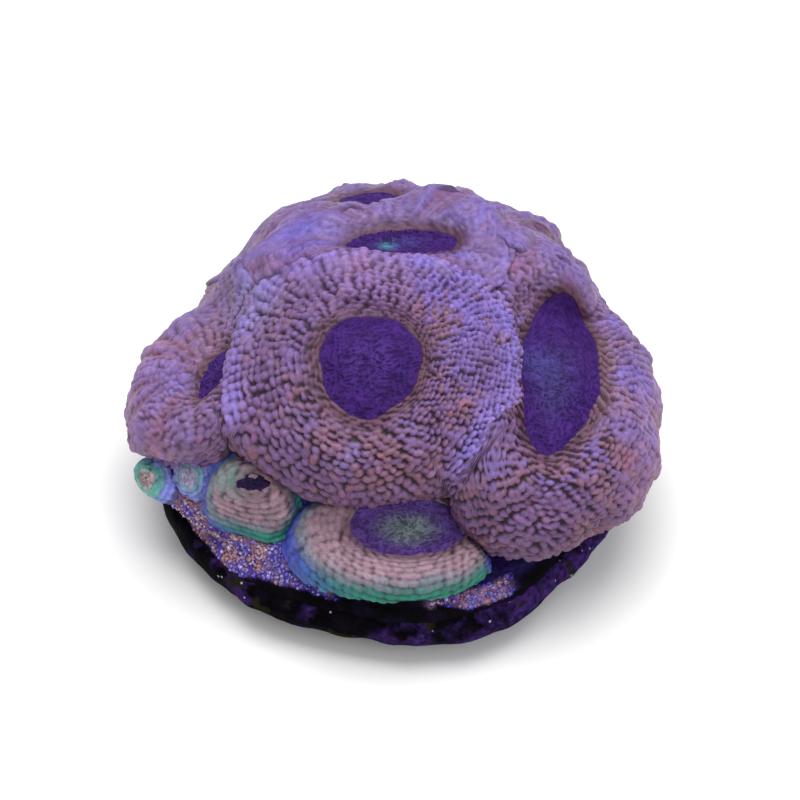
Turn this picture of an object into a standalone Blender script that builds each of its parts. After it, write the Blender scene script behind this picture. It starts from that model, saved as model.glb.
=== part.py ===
"""Acan coral colony on its round stone, in metres, +Z up.

The origin is the centre of the stone's flat underside and -Y is the front.
The coral's limestone skeleton is a plate with one mound under each large
polyp. Every polyp is a fleshy cushion that lies on the skeleton round its
own mouth and is pressed flat against its neighbours.
"""

import math
from dataclasses import dataclass
from functools import lru_cache

import bmesh
import bpy
import numpy as np

MM = 0.001

# Driving dimensions, in millimetres.
GAP = 0.3                      # clearance between the skeleton and the stone
SOLE = 0.4                     # height of a polyp's sole over the skeleton
SEAM = 0.6                     # clearance between two polyps
THINNEST = 0.8                 # least height of a polyp's skin over the skeleton
STONE_RADIUS = 25.2            # at the stone's widest
STONE_TOP = 8.0                # height of the stone's flat top
PLATE_BOTTOM = STONE_TOP + GAP
FLESH_BOTTOM = 8.8             # lowest line that the flesh is rooted on
BLEND = 1.1                    # how softly the mounds run into each other

# Mesh fineness.
WALK_STEP = 0.3                # length of one step over the skeleton
WALK_REACH = 22.5              # how far a polyp's edge is looked for
TRIAL_WALKS = 180              # walks that measure a polyp's edge
EVENNESS = 0.4                 # how far headings keep to equal angles
PROBE = 0.02                   # offset used to measure a slope
DISC_REACH = 0.8               # most of the way to the edge that a disc may take
LEAN = 2.4                     # farthest that an edge leans towards a neighbour
CORNER = 12.0                  # softness of the cells' corners, in square millimetres
FREE_EDGE = 0.12               # edge thickness where nothing presses, over the crest's


@dataclass(frozen=True)
class Mound:
    """One rounded hill of the skeleton: a centre and three semi-axes, in mm."""

    centre: tuple
    semi: tuple


@dataclass(frozen=True)
class Polyp:
    """One polyp: the places it presses outwards from, its disc and its thickness, in mm.

    The first of the places is its mouth. Each is an X, a Y and a power, which
    says how far from there it pushes its neighbours away.
    """

    name: str
    places: tuple
    spread: tuple              # free reach from the mouth, across and uphill
    disc: tuple                # semi-axes of the smooth oral disc
    disc_shift: tuple = (0.0, 0.0)  # from the mouth to the disc's middle
    disc_turn: float = 0.0     # degrees the disc is turned in its own plane
    disc_height: float = 2.2   # flesh thickness under the disc
    crest_height: float = 4.4  # flesh thickness at the top of the ring
    crest_at: float = 0.45     # share of the ring's width where the crest lies
    pressed: float = 0.85      # edge thickness against a neighbour, over the crest's
    sectors: int = 30


MOUNDS = (
    Mound((0.0, 0.0, 7.5), (25.4, 25.4, 3.3)),
    Mound((-1.5, -1.5, 9.0), (15.5, 12.0, 16.5)),
    Mound((13.5, -1.5, 9.0), (13.0, 14.5, 12.2)),
    Mound((-13.7, -0.4, 9.0), (13.2, 13.0, 10.8)),
    Mound((0.0, 13.0, 9.0), (19.8, 17.8, 17.2)),
    Mound((11.4, 13.0, 9.0), (9.8, 13.6, 14.0)),
)

POLYPS = (
    Polyp("polyp_centre", ((-2.6, -4.0, 15.0),), (20.0, 20.0), (5.2, 6.1)),
    Polyp(
        "polyp_right",
        (
            (16.4, -4.5, 4.4), (16.8, 4.0, 4.0), (16.8, 10.0, 4.0),
            (12.8, -10.5, 5.0), (8.8, -15.2, 5.6),
        ),
        (20.0, 20.0), (6.0, 11.8), (0.5, 5.0), -3.0,
        disc_height=1.8, pressed=0.8, sectors=38,
    ),
    Polyp(
        "polyp_left", ((-19.2, -0.3, 2.8), (-22.6, -3.8, 5.6), (-19.0, 6.5, 4.4)),
        (18.0, 18.0), (2.9, 3.6), sectors=28,
    ),
    Polyp(
        "polyp_back", ((0.4, 12.2, 9.5), (-8.0, 12.0, 4.6)), (21.0, 16.0), (6.2, 2.8),
        crest_height=3.6, pressed=0.92,
    ),
    Polyp(
        "polyp_far_back", ((-2.4, 21.0, 9.0), (-10.5, 17.5, 5.5)), (21.0, 18.0), (3.6, 2.8),
        crest_height=3.2, pressed=0.92,
    ),
    Polyp(
        "polyp_back_right", ((15.0, 19.0, 7.0),), (18.0, 18.0), (4.2, 3.2),
        crest_height=3.8, pressed=0.9,
    ),
    Polyp(
        "polyp_front", ((1.4, -15.2, 7.0), (-5.0, -18.5, 7.0), (5.2, -18.5, 6.6)),
        (13.6, 10.0), (6.2, 3.8),
        disc_height=1.3, crest_height=2.6, crest_at=0.5, sectors=28,
    ),
    Polyp(
        "polyp_front_left", ((-15.8, -12.6, 4.0),), (5.6, 5.0), (2.4, 1.6),
        disc_height=1.2, crest_height=2.2, crest_at=0.5, sectors=20,
    ),
    Polyp(
        "bud_left", ((-25.0, -7.0, 3.0),), (2.6, 2.6), (0.8, 0.7),
        disc_height=1.4, crest_height=1.9, crest_at=0.4, sectors=14,
    ),
    Polyp(
        "bud_small", ((-21.6, -9.2, 3.0),), (1.6, 1.6), (0.5, 0.5),
        disc_height=1.1, crest_height=1.5, crest_at=0.4, sectors=12,
    ),
)

STONE_COLOUR = (0.020, 0.014, 0.032)
SKELETON_COLOUR = (0.42, 0.26, 0.40)
FLESH_COLOUR = (0.30, 0.17, 0.27)
DISC_COLOUR = (0.055, 0.025, 0.17)
BUD_COLOUR = (0.18, 0.36, 0.36)


def clear_scene():
    """Removes whatever the startup scene holds."""
    for found in list(bpy.data.objects):
        bpy.data.objects.remove(found, do_unlink=True)


# The skeleton's surface.


def to_ellipsoid(points, mound):
    """First-order distance from points to an ellipsoid, negative inside."""
    scaled = (points - np.array(mound.centre)) / np.array(mound.semi)
    reach = np.linalg.norm(scaled, axis=-1)
    steepness = np.linalg.norm(scaled / np.array(mound.semi), axis=-1)
    return reach * (reach - 1.0) / np.maximum(steepness, 1e-9)


def to_skeleton(points):
    """Distance to the mounds' softly joined surface, negative inside."""
    each = np.stack([to_ellipsoid(points, mound) for mound in MOUNDS])
    nearest = each.min(axis=0)
    return nearest - BLEND * np.log(np.exp((nearest - each) / BLEND).sum(axis=0))


def slope_at(points):
    """Gradient of to_skeleton, by central differences."""
    sides = []
    for axis in np.eye(3) * PROBE:
        rise = to_skeleton(points + axis) - to_skeleton(points - axis)
        sides.append(rise / (2.0 * PROBE))
    return np.stack(sides, axis=-1)


def unit(vectors):
    """The vectors at length 1."""
    return vectors / np.linalg.norm(vectors, axis=-1, keepdims=True)


def onto_skeleton(points):
    """The points moved down or up their slope until they lie on the skeleton."""
    for _ in range(3):
        slope = slope_at(points)
        steep = (slope**2).sum(axis=-1, keepdims=True)
        points = points - to_skeleton(points)[..., None] * slope / steep
    return points


def shoot(start, directions, far=60.0):
    """Where rays from inside the skeleton come out of it, by halving the span."""
    low = np.zeros(len(directions))
    high = np.full(len(directions), far)
    for _ in range(30):
        middle = (low + high) / 2.0
        inside = to_skeleton(start + directions * middle[:, None]) < 0.0
        low = np.where(inside, middle, low)
        high = np.where(inside, high, middle)
    return start + directions * low[:, None]


# Polyps.


@lru_cache(maxsize=None)
def ground_at(x, y):
    """The skeleton's point straight above or below a place."""
    below = np.array([x, y, PLATE_BOTTOM])
    return shoot(below, np.array([[0.0, 0.0, 1.0]]))[0]


def mouth_of(polyp):
    """The skeleton's point under a polyp's mouth."""
    return ground_at(*polyp.places[0][:2])


def walk(polyp, headings):
    """Straight walks over the skeleton from the mouth, one along each heading.

    Returns the points passed and the direction of travel at each of them.
    """
    start = mouth_of(polyp)
    up = unit(slope_at(start[None]))[0]
    across = unit(np.array([1.0, 0.0, 0.0]) - up[0] * up)
    uphill = np.cross(up, across)
    ahead = np.cos(headings)[:, None] * across + np.sin(headings)[:, None] * uphill
    points = np.repeat(start[None], len(headings), axis=0)
    track, course = [points], [ahead]
    for _ in range(int(WALK_REACH / WALK_STEP)):
        points = onto_skeleton(points + ahead * WALK_STEP)
        normal = unit(slope_at(points))
        ahead = unit(ahead - (ahead * normal).sum(axis=1, keepdims=True) * normal)
        track.append(points)
        course.append(ahead)
    return np.stack(track, axis=1), np.stack(course, axis=1)


def nearest_place(polyps, points):
    """The nearest of the polyps' places by power distance, and that distance.

    The distances are joined by a soft minimum, which rounds a cell's corners.
    """
    places = [place for polyp in polyps for place in polyp.places]
    grounds = np.array([ground_at(*place[:2]) for place in places])
    powers = np.array([place[2] for place in places])
    reach = ((points[..., None, :] - grounds) ** 2).sum(axis=-1) - powers**2
    least = reach.min(axis=-1)
    spill = np.exp((least[..., None] - reach) / CORNER).sum(axis=-1)
    return grounds[reach.argmin(axis=-1)], least - CORNER * np.log(spill)


def past_wall(polyp, points):
    """How far points are past the wall between a polyp and its neighbours.

    The wall is the radical plane of two spheres round the nearest place of
    each, whose radii are the powers, drawn back by half of the seam.
    """
    own_place, own = nearest_place([polyp], points)
    others = [other for other in POLYPS if other is not polyp]
    other_place, other = nearest_place(others, points)
    span = np.linalg.norm(other_place - own_place, axis=-1)
    return (own - other) / (2.0 * span) + SEAM / 2.0


def ellipse_radius(semi, angles, shift=(0.0, 0.0), turn=0.0):
    """Distance to an ellipse's rim at each angle, from a point shift off its centre."""
    tilt = math.radians(turn)
    seen = angles - tilt
    ray = np.stack([np.cos(seen) / semi[0], np.sin(seen) / semi[1]])
    back_x = -shift[0] * math.cos(tilt) - shift[1] * math.sin(tilt)
    back_y = shift[0] * math.sin(tilt) - shift[1] * math.cos(tilt)
    start = np.array([[back_x / semi[0]], [back_y / semi[1]]])
    length, lead = (ray**2).sum(axis=0), (ray * start).sum(axis=0)
    return (np.sqrt(lead**2 + length * (1.0 - (start**2).sum())) - lead) / length


def first_past(excess):
    """How many steps along each walk until excess turns positive."""
    past = excess > 0.0
    past[:, -1] = True
    index = np.maximum(past.argmax(axis=1), 1)
    rows = np.arange(len(excess))
    before, after = excess[rows, index - 1], excess[rows, index]
    part = np.clip(before / np.minimum(before - after, -1e-9), 0.0, 1.0)
    return index - 1 + part


def edge_of(polyp, headings, track):
    """Length of each walk to the polyp's edge, and whether it is free (1) or pressed (0)."""
    pressed = first_past(past_wall(polyp, track)) * WALK_STEP
    hanging = first_past(FLESH_BOTTOM - track[:, :, 2]) * WALK_STEP
    free = np.minimum(hanging, ellipse_radius(polyp.spread, headings))
    return np.minimum(pressed, free), np.where(free < pressed, 1.0, 0.0)


def along(track, lengths):
    """The points at the given lengths along each walk."""
    steps = np.clip(lengths / WALK_STEP, 0.0, track.shape[1] - 1.001)
    index = steps.astype(int)
    part = (steps - index)[:, None]
    rows = np.arange(len(track))
    return track[rows, index] * (1.0 - part) + track[rows, index + 1] * part


def even_headings(polyp):
    """Headings from the mouth that cut the polyp's edge into equal lengths."""
    dense = np.linspace(0.0, 2.0 * math.pi, TRIAL_WALKS + 1)
    track, _ = walk(polyp, dense)
    edge, _ = edge_of(polyp, dense, track)
    brink = along(track, edge)
    sides = np.linalg.norm(np.diff(brink, axis=0), axis=1)
    passed = np.concatenate([[0.0], np.cumsum(sides + sides.mean() * EVENNESS)])
    wanted = np.arange(polyp.sectors) * passed[-1] / polyp.sectors
    return np.interp(wanted, passed, dense)


def crest_of(polyp, width):
    """Crest height over a ring of such widths: a narrow ring doesn't rise so far."""
    fullness = np.clip(width / polyp.crest_height, 0.25, 1.0)
    return polyp.disc_height + (polyp.crest_height - polyp.disc_height) * fullness


def ring_height(polyp, share, crest, free):
    """Flesh thickness over the ring, from the disc's rim (0) to the edge (1).

    It rises as a quarter sine to the crest and falls as a quarter ellipse,
    down to the skeleton where the edge is free (1) and part of the way where
    it is pressed (0).
    """
    foot = polyp.disc_height + 0.25 * (crest - polyp.disc_height)
    if share <= polyp.crest_at:
        climb = math.sin(math.pi / 2.0 * share / polyp.crest_at)
        return foot + (crest - foot) * climb
    fall = (share - polyp.crest_at) / (1.0 - polyp.crest_at)
    edge = crest * (polyp.pressed + (FREE_EDGE - polyp.pressed) * free)
    return edge + (crest - edge) * math.sqrt(1.0 - fall**2.4)


def evened(values):
    """Values round a ring, each averaged with its neighbours."""
    return (values * 2.0 + np.roll(values, 1) + np.roll(values, -1)) / 4.0


def lean_to_wall(polyp, points, course):
    """How far points slide along their course to touch the wall, within LEAN."""
    low = np.full(len(points), -LEAN)
    high = np.full(len(points), LEAN)
    for _ in range(24):
        middle = (low + high) / 2.0
        inside = past_wall(polyp, points + course * middle[:, None]) < 0.0
        low = np.where(inside, middle, low)
        high = np.where(inside, high, middle)
    return low


DISC_SHARES = (0.5, 1.0)
RING_SHARES = (0.08, 0.25, 0.45, 0.65, 0.82, 0.94, 1.0)
SOLE_SHARES = (1.0, 0.75, 0.5, 0.25)


def clear_of_skeleton(points, least):
    """The points lifted until they are at least so far off the skeleton."""
    short = np.maximum(least - to_skeleton(points), 0.0)[:, None]
    return points + unit(slope_at(points)) * short


def polyp_rings(polyp):
    """The polyp's skin as closed rings, from the mouth over the crest to the sole."""
    headings = even_headings(polyp)
    track, courses = walk(polyp, headings)
    edge, free = (evened(values) for values in edge_of(polyp, headings, track))
    rim = np.minimum(
        ellipse_radius(polyp.disc, headings, polyp.disc_shift, polyp.disc_turn),
        edge * DISC_REACH,
    )

    def raised(lengths, height):
        ground = along(track, lengths)
        lift = np.broadcast_to(height, lengths.shape)[:, None]
        return ground + unit(slope_at(ground)) * lift

    crest = crest_of(polyp, edge - rim)
    course = along(courses, edge)
    brink = raised(edge, ring_height(polyp, 1.0, crest, free))
    lean = evened(evened(lean_to_wall(polyp, brink, course) * (1.0 - free)))
    rings = [raised(rim * share, polyp.disc_height) for share in DISC_SHARES]
    for share in RING_SHARES:
        height = ring_height(polyp, share, crest, free)
        points = raised(rim + (edge - rim) * share, height)
        points = points + course * (lean * share**2)[:, None]
        over = np.minimum(lean_to_wall(polyp, points, course), 0.0)
        rings.append(clear_of_skeleton(points + course * over[:, None], THINNEST))
    rings += [raised(edge * share, SOLE) for share in SOLE_SHARES]
    return rings


def mouth_points(polyp):
    """The middle of the polyp's disc and of its sole."""
    ground = mouth_of(polyp)
    up = unit(slope_at(ground[None]))[0]
    return ground + up * polyp.disc_height, ground + up * SOLE


def loft(name, rings, first, last, materials):
    """Skins closed rings one after another and closes both ends.

    Args:
        rings: arrays of points in mm, all with the same count.
        first, last: the points that close the ends.
        materials: (material, how many of the first bands wear it) pairs.
    """
    mesh = bmesh.new()
    loops = [[mesh.verts.new(point * MM) for point in ring] for ring in rings]
    ends = [mesh.verts.new(np.array(end) * MM) for end in (first, last)]
    count = len(loops[0])
    bands = []
    for band in range(len(loops) + 1):
        faces = []
        for here in range(count):
            after = (here + 1) % count
            if band == 0:
                corners = [ends[0], loops[0][here], loops[0][after]]
            elif band == len(loops):
                corners = [loops[-1][here], ends[1], loops[-1][after]]
            else:
                inner, outer = loops[band - 1], loops[band]
                corners = [inner[here], outer[here], outer[after], inner[after]]
            faces.append(mesh.faces.new(corners))
        bands.append(faces)
    reach = 0
    for slot, (_, how_many) in enumerate(materials):
        for faces in bands[reach:reach + how_many]:
            for face in faces:
                face.material_index = slot
        reach += how_many
    bmesh.ops.triangulate(mesh, faces=mesh.faces[:])
    bmesh.ops.recalc_face_normals(mesh, faces=mesh.faces[:])
    data = bpy.data.meshes.new(name)
    mesh.to_mesh(data)
    mesh.free()
    data.shade_smooth()
    data.set_sharp_from_angle(angle=math.radians(50.0))
    for material, _ in materials:
        data.materials.append(material)
    built = bpy.data.objects.new(name, data)
    bpy.context.collection.objects.link(built)
    return built


def make_polyp(polyp, flesh, disc):
    """One polyp as a closed cushion of flesh with its oral disc."""
    rings = polyp_rings(polyp)
    top, sole = mouth_points(polyp)
    disc_bands = len(DISC_SHARES)
    return loft(polyp.name, rings, top, sole, [(disc, disc_bands), (flesh, 99)])


# The skeleton and the stone.


def outline_at_base(turns):
    """The skeleton's outline on its underside, as far as it reaches at each turn."""
    centre = np.array([0.0, 0.0, PLATE_BOTTOM])
    level = np.zeros(len(turns))
    return shoot(centre, np.stack([np.cos(turns), np.sin(turns), level], axis=1))


def make_skeleton(material, sectors=56, rounds=16):
    """The limestone skeleton: plate and mounds, flat below where it meets the stone."""
    outline = outline_at_base(np.arange(sectors) * 2.0 * math.pi / sectors)
    centre = np.array([0.0, 0.0, PLATE_BOTTOM])
    rings = []
    for step in range(1, rounds):
        share = math.sin(math.pi / 2.0 * step / rounds)
        foot = centre + (outline - centre) * share
        rings.append(np.array([ground_at(x, y) for x, y, _ in foot]))
    rings.append(outline)
    return loft("skeleton", rings, ground_at(0.0, 0.0), centre, [(material, 99)])


def stone_ripple(turns, height):
    """Uneven outline of the stone, in mm, as a few slow waves round it."""
    return (
        0.35 * np.cos(turns - 3.6)
        + (0.32 - 0.16 * np.sin(turns)) * np.cos(5.0 * (turns - 3.67) + 0.06 * height)
        + 0.18 * np.sin(9.0 * turns + 1.3 + 0.3 * height)
    )


STONE_PROFILE = (
    # height, inset from the widest radius
    (STONE_TOP, 4.2),
    (7.6, 2.6),
    (6.6, 1.2),
    (5.2, 0.2),
    (3.6, 0.3),
    (2.0, 1.3),
    (0.7, 2.8),
    (0.0, 4.4),
)


def make_stone(material, sectors=44):
    """The round stone the colony grew on, rough at its edge and cut flat below."""
    turns = np.arange(sectors) * 2.0 * math.pi / sectors
    rings = []
    for height, inset in STONE_PROFILE:
        radius = STONE_RADIUS - inset + stone_ripple(turns, height)
        level = np.full(sectors, height)
        rings.append(
            np.stack([radius * np.cos(turns), radius * np.sin(turns), level], axis=1)
        )
    return loft(
        "stone", rings, (0.0, 0.0, STONE_TOP), (0.0, 0.0, 0.0), [(material, 99)]
    )


def make_material(name, colour, roughness):
    """A plain surface of one colour."""
    material = bpy.data.materials.new(name)
    material.use_nodes = True
    shader = material.node_tree.nodes["Principled BSDF"]
    shader.inputs["Base Color"].default_value = (*colour, 1.0)
    shader.inputs["Roughness"].default_value = roughness
    shader.inputs["Metallic"].default_value = 0.0
    return material


def main():
    clear_scene()
    flesh = make_material("polyp_flesh", FLESH_COLOUR, 0.45)
    disc = make_material("oral_disc", DISC_COLOUR, 0.55)
    bud = make_material("bud_flesh", BUD_COLOUR, 0.4)
    make_stone(make_material("dark_stone", STONE_COLOUR, 0.7))
    make_skeleton(make_material("limestone", SKELETON_COLOUR, 0.8))
    for polyp in POLYPS:
        young = polyp.name.startswith("bud")
        make_polyp(polyp, bud if young else flesh, disc)


main()
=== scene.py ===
"""Acan coral colony on its round stone: the finished surfaces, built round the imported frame.

Lengths are in millimetres until a mesh is written, which is in metres. The
flesh of each polyp is one closed surface, raised into rows of beads round a
velvety oral disc. The skeleton's rim is bare, crusted with grains, and the
stone under it is overgrown with coralline algae.
"""

import logging
import math
from collections.abc import Callable
from dataclasses import dataclass, field
from enum import Enum

import bpy
import numpy as np
from mathutils.bvhtree import BVHTree
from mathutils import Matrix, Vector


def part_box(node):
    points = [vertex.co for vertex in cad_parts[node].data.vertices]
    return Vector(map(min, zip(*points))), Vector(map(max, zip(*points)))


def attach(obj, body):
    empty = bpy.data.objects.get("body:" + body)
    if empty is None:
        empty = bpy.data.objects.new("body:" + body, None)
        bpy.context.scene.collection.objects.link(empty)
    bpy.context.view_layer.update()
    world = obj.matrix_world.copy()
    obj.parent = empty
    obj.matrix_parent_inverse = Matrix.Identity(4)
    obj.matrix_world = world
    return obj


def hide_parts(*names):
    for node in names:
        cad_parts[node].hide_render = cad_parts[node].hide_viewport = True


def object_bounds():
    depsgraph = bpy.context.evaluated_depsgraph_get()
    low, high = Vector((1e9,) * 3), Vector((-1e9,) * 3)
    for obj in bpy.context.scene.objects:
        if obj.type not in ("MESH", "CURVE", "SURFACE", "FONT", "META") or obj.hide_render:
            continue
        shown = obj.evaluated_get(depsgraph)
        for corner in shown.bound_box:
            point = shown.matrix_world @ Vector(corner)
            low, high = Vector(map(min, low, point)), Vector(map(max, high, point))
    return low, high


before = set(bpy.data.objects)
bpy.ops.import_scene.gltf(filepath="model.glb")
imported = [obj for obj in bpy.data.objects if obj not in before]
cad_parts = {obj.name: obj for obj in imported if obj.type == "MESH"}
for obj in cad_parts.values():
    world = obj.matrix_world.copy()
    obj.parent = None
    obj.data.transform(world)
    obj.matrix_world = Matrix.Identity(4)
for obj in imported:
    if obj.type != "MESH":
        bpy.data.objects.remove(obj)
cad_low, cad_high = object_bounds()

log = logging.getLogger("acan_coral")

MM = 0.001
TAU = 2.0 * math.pi
BODY = "root"
UP = np.array([0.0, 0.0, 1.0])


# Small tools for arrays.


def unit(vectors: np.ndarray) -> np.ndarray:
    """The vectors at length 1."""
    return vectors / np.maximum(np.linalg.norm(vectors, axis=-1, keepdims=True), 1e-12)


def ramp(values: np.ndarray, low: float, high: float) -> np.ndarray:
    """0 below low, 1 above high and a smooth step between them."""
    share = np.clip((values - low) / (high - low), 0.0, 1.0)
    return share * share * (3.0 - 2.0 * share)


def blend(start: np.ndarray, end: np.ndarray, share: np.ndarray) -> np.ndarray:
    """A weighted mean of two arrays: start where share is 0, end where it is 1."""
    return start + (end - start) * share


def linear(code: str) -> np.ndarray:
    """An sRGB hex colour as linear red, green and blue.

    Args:
        code: six hex digits.

    Returns:
        Three values from 0 to 1, by the sRGB curve.
    """
    value = np.array([int(code[place:place + 2], 16) for place in (0, 2, 4)]) / 255.0
    return np.where(value <= 0.04045, value / 12.92, ((value + 0.055) / 1.055) ** 2.4)


def headings(count: int) -> np.ndarray:
    """So many headings evenly round a full turn, from 0."""
    return np.arange(count) * TAU / count


def round_turn(table: np.ndarray, heading: np.ndarray) -> np.ndarray:
    """A table of values at even headings, read at any headings as means of the two nearest."""
    turns = np.arange(len(table) + 1) * TAU / len(table)
    return np.interp(np.mod(heading, TAU), turns, np.append(table, table[0]))


def settled(grid: np.ndarray, passes: int) -> np.ndarray:
    """Smooths a grid along both its ways, the first of which is a ring.

    Each value becomes a quarter of each neighbour and half of itself, and the
    two ends of the open way stay where they are.

    Args:
        grid: values or vectors, (headings, steps, ...).
        passes: how many times over.

    Returns:
        The smoothed grid.
    """
    for _ in range(passes):
        grid = (np.roll(grid, 1, axis=0) + 2.0 * grid + np.roll(grid, -1, axis=0)) / 4.0
        inner = (grid[:, :-2] + 2.0 * grid[:, 1:-1] + grid[:, 2:]) / 4.0
        grid = np.concatenate([grid[:, :1], inner, grid[:, -1:]], axis=1)
    return grid


def lattice_mean(cell: np.ndarray, part: np.ndarray, value: Callable) -> np.ndarray:
    """Means over the eight corners of lattice cells, each corner weighted by how near it is.

    A corner's weight is the product, over the three ways, of the share of the
    cell on the far side of the place from it.

    Args:
        cell: each cell's lowest corner in whole numbers, (..., 3).
        part: where in its cell each place lies, from 0 to 1, (..., 3).
        value: gives the values at an array of corners.

    Returns:
        One mean for each place.
    """
    total = np.zeros(cell.shape[:-1])
    for corner in np.ndindex(2, 2, 2):
        step = np.array(corner)
        total += np.where(step == 1, part, 1.0 - part).prod(axis=-1) * value(cell + step)
    return total


def dyed(colour: np.ndarray, code: str, share: np.ndarray) -> np.ndarray:
    """Linear colours run towards an sRGB hex colour, by a share from 0 to 1 for each."""
    return blend(colour, linear(code), share[..., None])


class Noise:
    """Smooth random values over space, the same on every run."""

    # The table's length, the primes that mix a point's coordinates, and how far apart octaves are read.
    TABLE = 8192
    PRIMES = np.array([73856093, 19349663, 83492791], dtype=np.int64)
    APART = 37.0

    def __init__(self, seed: int) -> None:
        """Fills the table of random values from -1 to 1 that every lattice point draws from."""
        self.table = np.random.default_rng(seed).uniform(-1.0, 1.0, self.TABLE)

    def drawn(self, corners: np.ndarray) -> np.ndarray:
        """The random values at lattice points: coordinates times primes, mixed by exclusive or, pick each."""
        mixed = corners * self.PRIMES
        return self.table[(mixed[..., 0] ^ mixed[..., 1] ^ mixed[..., 2]) % self.TABLE]

    def at(self, points: np.ndarray, size: float) -> np.ndarray:
        """Values from -1 to 1 whose lumps are about size across.

        Each point's value is the smooth mean of the values at the eight
        corners of the lattice cell that it lies in.

        Args:
            points: places, (..., 3).
            size: the lattice's spacing, in the points' own unit.

        Returns:
            One value for each point.
        """
        spots = points / size
        cell = np.floor(spots)
        return lattice_mean(cell.astype(np.int64), ramp(spots - cell, 0.0, 1.0), self.drawn)

    def rough(self, points: np.ndarray, size: float, octaves: int) -> np.ndarray:
        """Several sizes of noise added, each half as large and half as strong as the last."""
        scales = [0.5**octave for octave in range(octaves)]
        return sum(scale * self.at(points + self.APART * scale, size * scale) for scale in scales)


# Meshes from arrays.


@dataclass
class Skin:
    """A mesh before it is written: points in mm, faces, and a UV for each face corner."""

    points: np.ndarray
    quads: np.ndarray
    quad_uv: np.ndarray
    tris: np.ndarray
    tri_uv: np.ndarray
    values: dict = field(default_factory=dict)


def closed_grid(rings: np.ndarray, first: np.ndarray, last: np.ndarray) -> Skin:
    """Rings of points skinned one after another, with a pole at each end.

    Args:
        rings: (how many, points in each, 3), anticlockwise seen from the first pole.
        first: the pole that closes the first ring.
        last: the pole that closes the last one.

    Returns:
        The skin, its UV the turn across and the ring up.
    """
    count, sectors = rings.shape[:2]
    points = np.concatenate([rings.reshape(-1, 3), [first, last]])
    here = np.arange(sectors)
    after = (here + 1) % sectors
    band = (np.arange(count - 1) * sectors)[:, None]
    quads = np.stack([band + shift for shift in (here, sectors + here, sectors + after, after)], axis=-1)
    top = np.full(sectors, count * sectors)
    base = (count - 1) * sectors
    tris = np.concatenate([
        np.stack([top, here, after], axis=-1),
        np.stack([base + here, top + 1, base + after], axis=-1),
    ])
    left, right = here / sectors, (here + 1.0) / sectors
    middle = (left + right) / 2.0
    step = 1.0 / (count + 1.0)
    rise = np.arange(1, count)[:, None] / (count + 1.0)
    across = np.broadcast_to(np.stack([left, left, right, right], axis=-1), (count - 1, sectors, 4))
    up = np.stack([rise, rise + step, rise + step, rise], axis=-1)
    quad_uv = np.stack([across, np.broadcast_to(up, across.shape)], axis=-1)
    fans = (
        ((middle, left, right), (0.0, step, step)),
        ((left, middle, right), (1.0 - step, 1.0, 1.0 - step)),
    )
    tri_uv = np.concatenate([
        np.stack([np.stack(turns, axis=-1), np.broadcast_to(rises, (sectors, 3))], axis=-1)
        for turns, rises in fans
    ])
    return Skin(points, quads.reshape(-1, 4), quad_uv.reshape(-1, 4, 2), tris, tri_uv)


def with_poles(values: np.ndarray) -> np.ndarray:
    """A closed grid's values in one row, its two poles taking the first values of the rings beside them."""
    return np.concatenate([values.reshape(-1, *values.shape[2:]), values[0, :1], values[-1, :1]])


def write_mesh(name: str, skin: Skin, material: bpy.types.Material) -> bpy.types.Object:
    """Makes a smooth-shaded object from a skin.

    Args:
        name: the piece's name.
        skin: its points, faces, UVs and per-point values or colours.
        material: what it wears.

    Returns:
        The object, at the origin.
    """
    mesh = bpy.data.meshes.new(name)
    mesh.vertices.add(len(skin.points))
    mesh.vertices.foreach_set("co", (skin.points * MM).astype(np.float32).ravel())
    corners = np.concatenate([skin.quads.ravel(), skin.tris.ravel()])
    starts = np.concatenate([
        np.arange(len(skin.quads)) * 4,
        len(skin.quads) * 4 + np.arange(len(skin.tris)) * 3,
    ])
    mesh.loops.add(len(corners))
    mesh.loops.foreach_set("vertex_index", corners.astype(np.int32))
    mesh.polygons.add(len(starts))
    mesh.polygons.foreach_set("loop_start", starts.astype(np.int32))
    mesh.update(calc_edges=True)
    mesh.validate()
    flat = np.concatenate([skin.quad_uv.reshape(-1, 2), skin.tri_uv.reshape(-1, 2)])
    mesh.uv_layers.new(name="OFBake").data.foreach_set("uv", flat.astype(np.float32).ravel())
    for key, value in skin.values.items():
        if value.ndim == 1:
            made = mesh.attributes.new(key, "FLOAT", "POINT")
            made.data.foreach_set("value", value.astype(np.float32))
        else:
            colour = np.concatenate([value, np.ones((len(value), 1))], axis=1)
            made = mesh.attributes.new(key, "FLOAT_COLOR", "POINT")
            made.data.foreach_set("color", colour.astype(np.float32).ravel())
    mesh.shade_smooth()
    mesh.materials.append(material)
    piece = bpy.data.objects.new(name, mesh)
    bpy.context.scene.collection.objects.link(piece)
    return piece


def place(piece: bpy.types.Object, slot: str, stands_for: str = "") -> None:
    """Rides a piece on the colony's one body and hides the CAD node it stands for.

    Args:
        piece: the finished piece.
        slot: not used.
        stands_for: the CAD node, or nothing where the piece is one more on a hidden node.
    """
    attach(piece, BODY)
    if stands_for:
        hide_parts(stands_for)
    log.info("%s: %d faces", piece.name, len(piece.data.polygons))


def triangles_of(node: str) -> np.ndarray:
    """Reads a CAD node's mesh.

    Args:
        node: the node's name.

    Returns:
        Its triangles, (count, 3 corners, 3), in mm.
    """
    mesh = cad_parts[node].data
    spots = np.empty(len(mesh.vertices) * 3, np.float32)
    mesh.vertices.foreach_get("co", spots)
    corners = np.empty(len(mesh.loops), np.int32)
    mesh.loops.foreach_get("vertex_index", corners)
    return spots.reshape(-1, 3)[corners].reshape(-1, 3, 3).astype(float) / MM


# Materials.

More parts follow.
